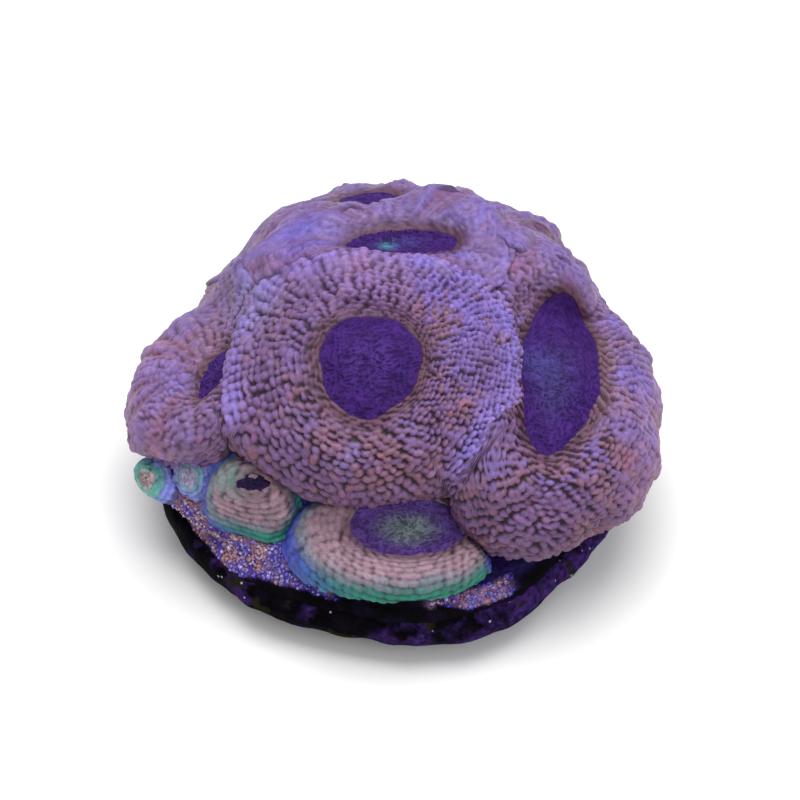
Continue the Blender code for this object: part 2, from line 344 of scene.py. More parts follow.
# The settings of Mix nodes for colours, and the numbers of their result and their two colours.
MIX = {"data_type": "RGBA"}
MULTIPLY = {"data_type": "RGBA", "blend_type": "MULTIPLY", 0: 1.0}
RESULT, FIRST, SECOND = 2, 6, 7


def rgba(code: str) -> tuple:
    """An sRGB hex colour as four linear numbers, opaque."""
    return (*linear(code), 1.0)


def per_mm(size: float) -> float:
    """The scale of a pattern on metre coordinates whose features are size mm apart."""
    return 1.0 / (size * MM)


def add_node(
    tree: bpy.types.NodeTree, kind: str, settings: dict, output: int | str = 0,
) -> bpy.types.NodeSocket:
    """Adds one node to a material.

    Args:
        tree: the material's nodes.
        kind: the node's type, without the ShaderNode before it.
        settings: property names, input names or input numbers, to their
            values or to the sockets that feed them. "stops" stands for a
            ramp's pairs of a place from 0 to 1 and an sRGB hex colour.
        output: which of its outputs is wanted.

    Returns:
        That output.
    """
    node = tree.nodes.new(f"ShaderNode{kind}")
    for key, value in settings.items():
        if key == "stops":
            elements = node.color_ramp.elements
            while len(elements) < len(value):
                elements.new(1.0)
            for element, (spot, code) in zip(elements, value):
                element.position, element.color = spot, rgba(code)
        elif isinstance(value, bpy.types.NodeSocket):
            tree.links.new(value, node.inputs[key])
        elif isinstance(key, str) and hasattr(node, key):
            setattr(node, key, value)
        else:
            node.inputs[key].default_value = value
    return node.outputs[output]


@dataclass(frozen=True)
class Relief:
    """Fine noise that bends the light: its lumps' width and depth in mm, its octaves and its strength."""

    width: float
    depth: float
    detail: float
    strength: float


class Finish:
    """A procedural finish: colour nodes of its own, a relief, and plain numbers on the shader's sockets."""

    NAME: str
    SOCKETS: dict
    RELIEF: Relief | None = None
    NOISE_ROUGHNESS = 0.55

    def make(self) -> bpy.types.Material:
        """Builds the material.

        Returns:
            The material, ready to wear.
        """
        material = bpy.data.materials.new(self.NAME)
        material.use_nodes = True
        tree = material.node_tree
        shader = tree.nodes["Principled BSDF"]
        here = add_node(tree, "TexCoord", {}, "Object")
        tree.links.new(self.colour(tree, here), shader.inputs["Base Color"])
        if self.RELIEF:
            height = add_node(tree, "TexNoise", self.lumps(here, self.RELIEF.width, self.RELIEF.detail))
            bump = {"Height": height, "Distance": self.RELIEF.depth * MM, "Strength": self.RELIEF.strength}
            tree.links.new(add_node(tree, "Bump", bump), shader.inputs["Normal"])
        for socket, value in self.SOCKETS.items():
            shader.inputs[socket].default_value = value
        return material

    def lumps(self, here: bpy.types.NodeSocket, size: float, detail: float) -> dict:
        """The settings of noise whose lumps are about size mm across."""
        return {"Vector": here, "Scale": per_mm(size), "Detail": detail, "Roughness": self.NOISE_ROUGHNESS}

    def colour(self, tree: bpy.types.NodeTree, here: bpy.types.NodeSocket) -> bpy.types.NodeSocket:
        """Adds the nodes of the base colour.

        Args:
            tree: the material's nodes.
            here: Object coordinates.

        Returns:
            The base colour's socket.
        """
        raise NotImplementedError


class BeadFinish(Finish):
    """Living coral flesh, swollen with water: soft, moist and slightly see-through.

    The eye gets a satin skin with small moist glints. Painted shade darkens
    and browns the crevices between the beads, leaving each bead's crown paler.
    """

    NAME = "moist_coral_flesh"
    RELIEF = Relief(width=0.12, depth=0.02, detail=2.0, strength=0.5)
    SOCKETS = {
        "Roughness": 0.5,
        "Subsurface Weight": 0.12,
        "Subsurface Radius": (1.0, 0.5, 0.7),
        "Subsurface Scale": 0.4 * MM,
        "Specular IOR Level": 0.32,
        "Coat Weight": 0.05,
        "Coat Roughness": 0.35,
    }

    def colour(self, tree: bpy.types.NodeTree, here: bpy.types.NodeSocket) -> bpy.types.NodeSocket:
        """Multiplies the tint of each bead by a fine mottle and by painted shade, dark in the crevices and fading
        up each bead's side.

        Args:
            tree: the material's nodes.
            here: Object coordinates.

        Returns:
            The base colour's socket.
        """
        tint = add_node(tree, "Attribute", {"attribute_name": "tint"}, "Color")
        crown = add_node(tree, "Attribute", {"attribute_name": "crown"}, "Fac")
        # Painted shade: dark brownish violet at the crevices' floor, white at the crowns.
        side = add_node(tree, "ValToRGB", {0: crown, "stops": ((0.0, "542444"), (1.0, "ffffff"))})
        mottle = add_node(tree, "TexNoise", self.lumps(here, 0.35, 3.0))
        shade = add_node(tree, "ValToRGB", {0: mottle, "stops": ((0.3, "d4d0d4"), (0.7, "ffffff"))})
        body = add_node(tree, "Mix", {**MULTIPLY, FIRST: tint, SECOND: shade}, RESULT)
        return add_node(tree, "Mix", {**MULTIPLY, FIRST: body, SECOND: side}, RESULT)


class DiscFinish(Finish):
    """The oral disc's velvet: short papillae, with painted shade between them."""

    NAME = "velvety_oral_disc"
    RELIEF = Relief(width=0.1, depth=0.03, detail=2.0, strength=0.6)
    SOCKETS = {"Roughness": 0.65, "Specular IOR Level": 0.1}

    def colour(self, tree: bpy.types.NodeTree, here: bpy.types.NodeSocket) -> bpy.types.NodeSocket:
        """Darkens the disc's tint between its papillae, as painted shade.

        Args:
            tree: the material's nodes.
            here: Object coordinates.

        Returns:
            The base colour's socket.
        """
        tint = add_node(tree, "Attribute", {"attribute_name": "tint"}, "Color")
        crown = add_node(tree, "Attribute", {"attribute_name": "crown"}, "Fac")
        # Painted shade: darker between the papillae, white on their tips.
        stops = ((0.1, "aaa2b2"), (0.55, "d6d2da"), (0.95, "ffffff"))
        shade = add_node(tree, "ValToRGB", {0: crown, "stops": stops})
        return add_node(tree, "Mix", {**MULTIPLY, FIRST: tint, SECOND: shade}, RESULT)


class StoneFinish(Finish):
    """An old ceramic or lava stone under a film of algae.

    The eye gets near-black with violet coralline patches, some olive film and
    a few white worm-tube specks.
    """

    NAME = "coralline_overgrown_stone"
    RELIEF = Relief(width=0.5, depth=0.25, detail=5.0, strength=0.8)
    SOCKETS = {"Roughness": 0.8, "Specular IOR Level": 0.03}

    def colour(self, tree: bpy.types.NodeTree, here: bpy.types.NodeSocket) -> bpy.types.NodeSocket:
        """Lays violet, olive and white over black by noise of several sizes, the violet thicker towards +X.

        Args:
            tree: the material's nodes.
            here: Object coordinates.

        Returns:
            The base colour's socket.
        """
        moved = add_node(tree, "VectorMath", {"operation": "ADD", 0: here, 1: (0.3, 0.1, 0.2)})
        black, film, patches, mould = (
            add_node(tree, "TexNoise", self.lumps(source, size, detail))
            for source, size, detail in ((here, 1.6, 5.0), (here, 0.7, 4.0), (here, 5.0, 6.0), (moved, 3.0, 5.0))
        )
        across = add_node(tree, "SeparateXYZ", {0: here})
        lean = add_node(tree, "MapRange", {0: across, 1: -5.0 * MM, 2: 18.0 * MM, 3: -0.05, 4: 0.14})
        raised = add_node(tree, "Math", {"operation": "ADD", 0: patches, 1: lean})
        tubes = add_node(tree, "TexVoronoi", {"Vector": here, "Scale": per_mm(1.9)}, "Distance")
        base, violet, growth, olive, specks = (
            add_node(tree, "ValToRGB", {0: source, "stops": stops})
            for source, stops in (
                (black, ((0.38, "020103"), (0.62, "0a0610"))),
                (film, ((0.35, "190c32"), (0.7, "45296e"))),
                (raised, ((0.48, "000000"), (0.6, "ffffff"))),
                (mould, ((0.58, "000000"), (0.66, "ffffff"))),
                (tubes, ((0.05, "ffffff"), (0.09, "000000"))),
            )
        )
        colour = base
        for share, over in ((growth, violet), (olive, rgba("1f1e0a")), (specks, rgba("a79fc0"))):
            colour = add_node(tree, "Mix", {**MIX, 0: share, FIRST: colour, SECOND: over}, RESULT)
        return colour


class CrustFinish(Finish):
    """The bare skeleton's rim: fresh aragonite under thin living tissue and algae.

    The eye gets a dull, finely pitted film whose colour runs from crust to
    black stone.
    """

    NAME = "tissue_film_on_aragonite"
    RELIEF = Relief(width=0.3, depth=0.12, detail=4.0, strength=0.8)
    SOCKETS = {"Roughness": 0.6, "Specular IOR Level": 0.04}
    MOTTLE = (0.5, 4.0)
    STOPS = ((0.3, "8a8a8a"), (0.7, "ffffff"))

    def colour(self, tree: bpy.types.NodeTree, here: bpy.types.NodeSocket) -> bpy.types.NodeSocket:
        """Darkens the surface's own tint by a fine mottle.

        Args:
            tree: the material's nodes.
            here: Object coordinates.

        Returns:
            The base colour's socket.
        """
        tint = add_node(tree, "Attribute", {"attribute_name": "tint"}, "Color")
        mottle = add_node(tree, "TexNoise", self.lumps(here, *self.MOTTLE))
        shade = add_node(tree, "ValToRGB", {0: mottle, "stops": self.STOPS})
        return add_node(tree, "Mix", {**MULTIPLY, FIRST: tint, SECOND: shade}, RESULT)


class GrainFinish(CrustFinish):
    """Loose grains of aragonite and coralline crumbs, glossy enough to glint where a face is clean."""

    NAME = "aragonite_grains"
    RELIEF = None
    SOCKETS = {"Roughness": 0.28}
    MOTTLE = (0.25, 3.0)
    STOPS = ((0.35, "b0b0b0"), (0.65, "ffffff"))


# The soft solids, read from the frame.


class Distances:
    """How far every spot round the colony lies from each of its solids.

    The signed distances, below 0 inside, stand on one lattice and are read
    between its points as trilinear means.
    """

    # The lattice's step, the farthest distance kept, the border round the colony
    # and the reach of the slope's differences, in mm.
    STEP = 0.75
    MARGIN = 7.0
    BORDER = 6.0
    SPAN = 0.45

    def __init__(self, nodes: tuple) -> None:
        """Measures the distances.

        Args:
            nodes: the CAD nodes' names.
        """
        self.low = np.array(cad_low) / MM - self.BORDER
        high = np.array(cad_high) / MM + self.BORDER
        self.shape = tuple(np.ceil((high - self.low) / self.STEP).astype(int) + 1)
        self.fields = {node: self.measure(node) for node in nodes}

    def measure(self, node: str) -> np.ndarray:
        """The distances to one node, held at the margin outside its neighbourhood.

        Args:
            node: the node's name.

        Returns:
            The signed distance at every point of the lattice.
        """
        triangles = triangles_of(node)
        faces = np.arange(len(triangles) * 3).reshape(-1, 3)
        tree = BVHTree.FromPolygons(triangles.reshape(-1, 3).tolist(), faces.tolist())
        first = np.floor((triangles.min(axis=(0, 1)) - self.MARGIN - self.low) / self.STEP).astype(int)
        last = np.ceil((triangles.max(axis=(0, 1)) + self.MARGIN - self.low) / self.STEP).astype(int)
        first, last = np.maximum(first, 0), np.minimum(last + 1, self.shape)
        ways = [np.arange(low, high) * self.STEP + start for low, high, start in zip(first, last, self.low)]
        spots = np.stack(np.meshgrid(*ways, indexing="ij"), axis=-1)
        found = [tree.find_nearest(spot)[3] for spot in spots.reshape(-1, 3)]
        distance = np.array(found).reshape(spots.shape[:3])
        signed = np.where(self.inside(tree, ways), -distance, distance)
        whole = np.full(self.shape, self.MARGIN)
        whole[tuple(slice(low, high) for low, high in zip(first, last))] = np.minimum(signed, self.MARGIN)
        return self.softened(whole)

    @staticmethod
    def inside(tree: BVHTree, ways: list) -> np.ndarray:
        """Finds which lattice points lie inside a solid: those with an odd count of its faces below them.

        Args:
            tree: the solid's triangles.
            ways: the lattice's places along each axis.

        Returns:
            True or false at each point.
        """
        columns = np.stack(np.meshgrid(ways[0] + 1e-4, ways[1] + 2e-4, indexing="ij"), axis=-1)
        below = np.zeros((*columns.shape[:2], len(ways[2])), int)
        for column in np.ndindex(columns.shape[:2]):
            height = ways[2][0] - 1.0
            while (hit := tree.ray_cast((*columns[column], height), (0.0, 0.0, 1.0))[0]) is not None:
                below[column] += ways[2] > hit.z
                height = hit.z + 1e-4
        return below % 2 == 1

    @staticmethod
    def softened(values: np.ndarray) -> np.ndarray:
        """Rounds the solids' facets.

        Along each axis in turn, a value becomes a quarter of each neighbour
        and half of itself.

        Args:
            values: distances on the lattice.

        Returns:
            The softened distances.
        """
        for axis in range(3):
            before, after = np.roll(values, 1, axis=axis), np.roll(values, -1, axis=axis)
            values = (before + 2.0 * values + after) / 4.0
        return values

    def read(self, values: np.ndarray, points: np.ndarray) -> np.ndarray:
        """Reads distances between the lattice's points.

        Args:
            values: distances on the lattice.
            points: places, (..., 3).

        Returns:
            The trilinear mean at each place.
        """
        spot = (points - self.low) / self.STEP
        cell = np.clip(np.floor(spot).astype(int), 0, np.array(self.shape) - 2)
        part = np.clip(spot - cell, 0.0, 1.0)
        return lattice_mean(cell, part, lambda corners: values[tuple(np.moveaxis(corners, -1, 0))])

    def slope(self, values: np.ndarray, points: np.ndarray) -> np.ndarray:
        """The gradient, from differences over a short span each way.

        Args:
            values: distances on the lattice.
            points: places, (..., 3).

        Returns:
            The gradient at each place, (..., 3).
        """
        steps = np.eye(3) * self.SPAN
        rises = [self.read(values, points + step) - self.read(values, points - step) for step in steps]
        return np.stack(rises, axis=-1) / (2.0 * self.SPAN)

    def merged(self, node: str, blends: dict) -> np.ndarray:
        """One node's field run into its neighbours', with the grooves between them filled.

        Where two distances differ by less than the blend width k, the smaller
        is lowered by k/4 times the square of the share of k that is left.

        Args:
            node: the node.
            blends: blend widths in mm, keyed by neighbour, one number or an array over the lattice.

        Returns:
            The merged field.
        """
        whole = self.fields[node]
        for other, width in blends.items():
            rival = self.fields[other]
            close = np.maximum(1.0 - np.abs(whole - rival) / width, 0.0)
            nearer = np.minimum(whole, rival)
            whole = nearer - width / 4.0 * close**2 * ramp(self.MARGIN - nearer, 0.5, 2.0)
        return whole

    def nearest_other(self, node: str, others: tuple) -> np.ndarray:
        """The smallest distance to any of the node's neighbours."""
        return np.minimum.reduce([self.fields[other] for other in others if other != node])


class Shell:
    """A solid's outer surface, as curves that leave one point on it.

    Each curve lies in one half-plane round the point's axis and follows the
    surface in equal steps, so a place on the shell is a heading round the
    point and a length along the curve of that heading.
    """

    # How many curves there are, and their step in mm.
    HEADINGS = 192
    STRIDE = 0.25

    # The least slope, the steps back at the start and later on, and the fewest steps in a curve.
    FLATTEST = 0.3
    SETTLING = 8
    TRIES = 2
    SHORTEST = 6

    def __init__(self, space: Distances, field: np.ndarray, start: np.ndarray, up: np.ndarray, steps: int) -> None:
        """Follows the surface.

        Args:
            space: the lattice that the field stands on.
            field: signed distances to the surface.
            start: a point above or on the surface.
            up: the way it faces there.
            steps: how many strides each curve takes.
        """
        self.space, self.field, self.steps = space, field, steps
        self.up = up
        self.across = unit(np.array([1.0, 0.0, 0.0]) - up[0] * up)
        self.uphill = np.cross(up, self.across)
        self.grid = self.follow(start)
        self.start = self.grid[0, 0]
        self.reach = np.full(self.HEADINGS, (steps - 1) * self.STRIDE)
        self.normals = settled(unit(space.slope(field, self.grid)), 2)

    def follow(self, start: np.ndarray) -> np.ndarray:
        """Walks all the headings at once: a step along the surface, then some steps back on to it.

        A step back is the distance over the square of its slope in the
        heading's half-plane. The start comes down on to the surface first.

        Args:
            start: a point above or on the surface.

        Returns:
            The places passed, (headings, steps, 3).
        """
        turns = headings(self.HEADINGS)
        outward = np.cos(turns)[:, None] * self.across + np.sin(turns)[:, None] * self.uphill
        spots = np.broadcast_to(start, outward.shape)
        track = []
        for step in range(self.steps):
            for _ in range(self.TRIES if step else self.SETTLING):
                slope = self.space.slope(self.field, spots)
                radial, rise = (slope * outward).sum(axis=-1), slope @ self.up
                if step == 0:
                    radial, rise = radial * 0.0, rise * 0.0 + 1.0
                steep = np.maximum(np.hypot(radial, rise), self.FLATTEST)
                miss = self.space.read(self.field, spots) / steep**2
                spots = spots - (radial * miss)[:, None] * outward - (rise * miss)[:, None] * self.up
            track.append(spots)
            stride = self.STRIDE / steep
            spots = spots + (rise * stride)[:, None] * outward - (radial * stride)[:, None] * self.up
        return np.stack(track, axis=1)

    def end_where(self, ended: np.ndarray) -> None:
        """Ends each curve at the first of its grid points that is marked, a few strides out at least.

        Args:
            ended: the marks, (headings, steps).
        """
        ended = ended.copy()
        ended[:, :self.SHORTEST] = False
        ended[:, -1] = True
        self.reach = ended.argmax(axis=1) * self.STRIDE

    def push(self, rise: np.ndarray) -> None:
        """Moves the surface along its normals, by so many mm at each grid point."""
        self.grid = self.grid + self.normals * rise[..., None]

    def sample(self, table: np.ndarray, heading: np.ndarray, length: np.ndarray) -> np.ndarray:
        """Reads a table of the grid's shape between its points.

        Args:
            table: one value or vector for each grid point.
            heading: angles round the start.
            length: distances from it, in mm.

        Returns:
            The bilinear mean at each place.
        """
        turn = np.mod(heading / TAU, 1.0) * self.HEADINGS
        west = np.floor(turn).astype(int)
        turn = (turn - west)[..., None]
        east = (west + 1) % self.HEADINGS
        west = west % self.HEADINGS
        step = np.clip(length / self.STRIDE, 0.0, self.steps - 1.0)
        near = np.minimum(np.floor(step).astype(int), self.steps - 2)
        step = (step - near)[..., None]
        low = table[west, near] * (1.0 - step) + table[west, near + 1] * step
        high = table[east, near] * (1.0 - step) + table[east, near + 1] * step
        return low * (1.0 - turn) + high * turn

    def reach_at(self, heading: np.ndarray) -> np.ndarray:
        """The curve's length from the start to its end, at each heading."""
        return round_turn(self.reach, heading)

    def surface(self, heading: np.ndarray, length: np.ndarray) -> tuple:
        """Points and outward normals at the given headings and lengths."""
        return self.sample(self.grid, heading, length), unit(self.sample(self.normals, heading, length))


def bells(points: np.ndarray, curves: tuple) -> np.ndarray:
    """Sums bell curves, each its rise times exp(-(distance / radius)^2).

    Args:
        points: places, (..., 3).
        curves: rows of a curve's place in x, y and z, its radius and its rise in the middle.

    Returns:
        One sum for each place.
    """
    return sum(
        rise * np.exp(-((points - np.array(middle)) ** 2).sum(axis=-1) / radius**2)
        for *middle, radius, rise in curves
    )


# Bell curves, each a row of x, y, z, radius and rise in mm.

# Where the flesh swells away from the colony's middle, or sinks towards it if the rise is below 0.
SWELLINGS = (
    (-17.5, -10.5, 14.5, 4.5, 1.5),
    (-24.0, -7.5, 11.5, 4.0, 0.9),
    (-27.6, -6.8, 11.2, 2.8, 1.2),
    (-30.0, -4.0, 15.0, 4.0, -0.3),
    (-28.0, -3.5, 12.5, 3.0, 0.4),
    (-27.0, 9.5, 15.0, 4.5, 1.1),
    (-23.0, 12.5, 17.5, 3.5, 0.9),
    (-30.0, 1.0, 15.0, 6.0, -0.5),
    (-19.5, 16.5, 18.5, 4.0, -1.9),
    (-20.5, 14.2, 20.2, 3.0, -0.7),
    (-16.5, 19.0, 21.8, 3.5, -0.6),
    (-12.0, 20.8, 25.0, 5.5, 0.3),
    (6.0, 22.5, 26.5, 6.0, -0.7),
    (8.0, 28.0, 23.0, 4.5, -2.0),
    (-5.5, 28.0, 23.2, 5.0, -0.5),
    (10.0, 24.8, 24.5, 5.5, -1.6),
    (-1.5, 18.3, 28.5, 4.0, -1.2),
    (14.0, 13.0, 29.0, 2.6, -0.8),
    (17.5, 24.0, 20.5, 3.5, 0.9),
    (17.0, 20.5, 24.0, 4.0, 1.5),
    (21.8, 21.0, 16.8, 4.0, -1.2),
    (23.5, 16.0, 20.0, 5.0, -2.4),
    (25.5, 9.5, 18.0, 3.5, 0.8),
    (27.5, 7.0, 17.0, 5.0, 0.8),
    (30.0, -2.0, 14.5, 6.0, -0.8),
    (24.0, -14.0, 12.0, 5.0, -0.9),
    (21.5, -16.5, 12.5, 3.0, -0.9),
    (9.5, -13.0, 21.5, 3.5, 0.9),
    (8.5, -16.0, 19.5, 3.0, 0.6),
    (13.5, 3.5, 25.0, 4.0, 0.6),
    (10.5, -20.8, 9.8, 3.0, -1.2),
    (-19.0, -15.2, 9.8, 3.2, -0.9),
    (-16.5, -16.2, 9.5, 3.0, -0.9),
)

# Where a polyp's edge clings to the skeleton farther than elsewhere.
CLINGS = ((-18.3, -8.0, 14.0, 4.0, 2.8),)

# How far the stone and its crust are out of round, in the plane.
BULGES = (
    (-25.5, -4.5, 5.0, 9.0, 0.9),
    (-19.0, -17.0, 3.0, 6.0, -0.2),
    (-2.0, -25.5, 3.0, 10.0, -0.9),
    (12.0, -22.5, 3.0, 6.0, 0.9),
    (18.5, -17.0, 4.0, 6.0, -0.1),
    (23.5, -10.5, 5.5, 5.0, 0.7),
)

# The colony's middle, and the least distance from its axis that a bulge is shared out over.
MIDDLE = np.array([0.0, 0.0, 8.0])
CORE = 8.0


def swollen(points: np.ndarray) -> np.ndarray:
    """Moves points away from the colony's middle by the swellings, so that neighbours move as one."""
    return points + unit(points - MIDDLE) * bells(points, SWELLINGS)[..., None]


def out_of_round(points: np.ndarray) -> np.ndarray:
    """Moves places on the stone away from its axis by the bulges there, in the plane.

    Args:
        points: places, (..., 3), in mm.

    Returns:
        The moved places. Those near the axis hardly move.
    """
    moved = points.copy()
    radius = np.maximum(np.linalg.norm(points[..., :2], axis=-1), CORE)
    moved[..., :2] *= (1.0 + bells(points, BULGES) / radius)[..., None]
    return moved


class Cushion(Shell):
    """The part of one polyp's outer surface that is nearer to it than to its neighbours."""

    # The steps in each curve, those over which the swelling grows, and its lumps' width in mm.
    STEPS = 150
    CALM = 24.0
    LUMP = 4.5

    def __init__(self, look: "PolypLook", space: Distances, blends: dict, swell: Noise, height: float) -> None:
        """Follows the polyp's surface from its mouth and swells it.

        Args:
            look: the polyp's look, which names its CAD node.
            space: the distances to all the solids.
            blends: blend widths in mm, keyed by neighbour.
            swell: the noise that gives the flesh its uneven swelling.
            height: how far that swelling goes, in mm. It fades towards the mouth.
        """
        mouth, up = self.find_mouth(triangles_of(look.node))
        mouth = mouth + np.array(look.mouth_shift)
        super().__init__(space, space.merged(look.node, blends), mouth, up, self.STEPS)
        own = space.read(space.fields[look.node], self.grid)
        rival = space.read(space.nearest_other(look.node, SOFT_NODES), self.grid)
        ground = space.read(space.fields["skeleton"], self.grid) + bells(self.grid, CLINGS)
        self.end_where((rival < own) | (ground < own) | (self.grid[..., 2] < look.hem))
        fade = np.minimum(np.arange(self.STEPS) / self.CALM, 1.0)[None, :]
        self.push(height * swell.rough(self.grid, self.LUMP, 3) * fade)
        self.grid = swollen(self.grid)

    @staticmethod
    def find_mouth(triangles: np.ndarray) -> tuple:
        """Finds the pole of a solid's upper side.

        A pole is one of the two points where most triangles meet, and its
        direction is the sum of their normals, each as long as twice its area.

        Args:
            triangles: the solid's, (count, 3 corners, 3).

        Returns:
            The pole that faces up more, and the way it faces.
        """
        corners = triangles.reshape(-1, 3)
        _, index, counts = np.unique(np.round(corners, 3), axis=0, return_inverse=True, return_counts=True)
        sides = triangles[:, 1:] - triangles[:, :1]
        facing = np.repeat(np.cross(sides[:, 0], sides[:, 1]), 3, axis=0)
        poles = []
        for pole in np.argsort(counts)[-2:]:
            here = index.reshape(-1) == pole
            poles.append((corners[here][0], unit(facing[here].sum(axis=0))))
        return max(poles, key=lambda pole: pole[1][2])


@dataclass(frozen=True)
class Habit:
    """How a polyp of some age carries its flesh.

    The swelling and the beads' wander are in mm, and the spreads are those of
    the random draws of their sizes, heights and turns.
    """

    slot: str
    swelling: float
    wander: float
    size_spread: float
    height_spread: float
    turn_spread: float


class Growth(Enum):
    """How old a polyp is, which sets its beads and colours."""

    LARGE = Habit("flesh", 0.45, 0.16, 0.12, 0.15, 0.25)
    YOUNG = Habit("flesh", 0.08, 0.06, 0.04, 0.06, 0.03)
    BUD = Habit("bud", 0.08, 0.06, 0.04, 0.06, 0.03)


@dataclass(frozen=True)
class BeadSizes:
    """The beads' sizes in mm, and those of the finer ones by the disc's rim: real ones are 0.7 to 1.1 mm wide."""

    width: float = 1.0
    pitch: float = 0.64
    height: float = 0.42
    rim_width: float = 1.15
    rim_pitch: float = 0.46
    rim_height: float = 0.26
    rim_zone: float = 2.6


@dataclass(frozen=True)
class PolypLook:
    """What the eye sees of one polyp beyond its CAD solid, in mm, radians and hex colours.

    The disc is an ellipse, given by its half axes, its shift from the mouth
    and its turn in degrees. The spacing is the mesh's, the hem is the lowest
    that the flesh reaches, and the rows lie closer by the share called fine
    on the side of the fine heading.
    """

    node: str
    disc: tuple
    disc_shift: tuple = (0.0, 0.0)
    mouth_shift: tuple = (0.0, 0.0, 0.0)
    disc_turn: float = 0.0
    growth: Growth = Growth.LARGE
    beads: BeadSizes = BeadSizes()
    spacing: float = 0.15
    fold: float = 0.5
    hem: float = 0.0
    fine_heading: float = 0.0
    fine: float = 0.0
    disc_tint: str = "452374"
    disc_middle: str = "4a2c7a"


def scattered(form: Skin, centres: np.ndarray, axes: np.ndarray, colours: np.ndarray) -> Skin:
    """Copies of a small form, each with its own place, axes and colour, as one skin.

    Args:
        form: the small form at unit size.
        centres: (count, 3).
        axes: (count, 3 axes, 3), each as long as the copy's half size that way.
        colours: (count, 3), linear.

    Returns:
        The joined skin. Every copy has its own square of the UV map.
    """
    count, size = len(centres), len(form.points)
    points = centres[:, None] + np.einsum("vk,nkd->nvd", form.points, axes)
    shift = (np.arange(count) * size)[:, None, None]
    side = math.ceil(math.sqrt(count))
    cell = (np.stack([np.arange(count) % side, np.arange(count) // side], axis=-1) / side)[:, None, None]
    shrink = 0.9 / side
    return Skin(
        points.reshape(-1, 3),
        (form.quads[None] + shift).reshape(-1, 4),
        (cell + form.quad_uv[None] * shrink).reshape(-1, 4, 2),
        (form.tris[None] + shift).reshape(-1, 3),
        (cell + form.tri_uv[None] * shrink).reshape(-1, 3, 2),
        {"tint": np.repeat(colours, size, axis=0)},
    )


def puffed(points: np.ndarray) -> np.ndarray:
    """How swollen the flesh is, which smooths its beads away: 0 at the front's middle, 1 far from it."""
    x, y = points[..., 0], points[..., 1]
    return np.maximum.reduce([ramp(y, 1.0, 14.0), 0.7 * ramp(-x, 14.0, 24.0), 0.8 * ramp(x, 22.0, 30.0)])


@dataclass(frozen=True)
class Beads:
    """A polyp's beads, one entry for each, in mm and radians.

    A bead lies at a heading and a length from the mouth. The arc is the mm to
    each radian of heading there, the depth is from the disc's rim and grown
    is 0 for the rim's fine beads and 1 for full-sized ones.
    """

    heading: np.ndarray
    length: np.ndarray
    width: np.ndarray
    arc: np.ndarray
    pitch: np.ndarray
    height: np.ndarray
    depth: np.ndarray
    grown: np.ndarray


@dataclass(frozen=True)
class Stain:
    """A patch of another pigment on the flesh or a disc: a bell curve of the share of it, and its hex colour."""

    where: tuple
    code: str
    on_disc: bool = False


STAINS = (
    Stain((-17.6, -12.3, 16.4, 1.5, 0.8), "3c9c8c"),
    Stain((-0.9, 10.9, 28.3, 0.8, 0.8), "5ab4c4", on_disc=True),
    Stain((15.6, -1.0, 22.8, 2.2, 0.5), "52589c", on_disc=True),
    Stain((9.5, -13.8, 21.6, 2.6, 0.5), "9a8ee0"),
    Stain((-2.8, 4.5, 29.0, 4.0, 0.45), "9a7ab6"),
    Stain((-22.6, -10.4, 14.0, 2.4, 0.5), "8e8ad8"),
    Stain((-10.5, 12.5, 28.3, 3.4, 0.6), "7c76e6"),
    Stain((-15.9, 5.0, 24.9, 3.6, 0.6), "8a88b6"),
    Stain((-16.6, 8.9, 23.8, 3.0, 0.5), "8a88b6"),
    Stain((-21.0, 3.6, 20.0, 3.6, 0.45), "a07870"),
    Stain((-21.2, -4.8, 20.8, 3.2, 0.4), "a07880"),
    Stain((22.9, 3.8, 19.8, 3.2, 0.45), "a07a7c"),
    Stain((23.2, -4.0, 20.0, 3.6, 0.45), "a07a7c"),
    Stain((-5.9, -15.1, 21.5, 0.8, 0.8), "8a80c8"),
    Stain((-5.1, -14.5, 22.5, 0.8, 0.8), "8a80c8"),
    Stain((-4.1, -13.7, 23.1, 0.8, 0.8), "8a80c8"),
)


def stained(colour: np.ndarray, points: np.ndarray, on_disc: bool) -> np.ndarray:
    """Lays the stains of the flesh, or of the discs, over some colours.

    Args:
        colour: linear colours, (..., 3).
        points: their places.
        on_disc: whether the colours are a disc's.

    Returns:
        The stained colours.
    """
    for stain in STAINS:
        if stain.on_disc == on_disc:
            colour = dyed(colour, stain.code, bells(points, (stain.where,)))
    return colour


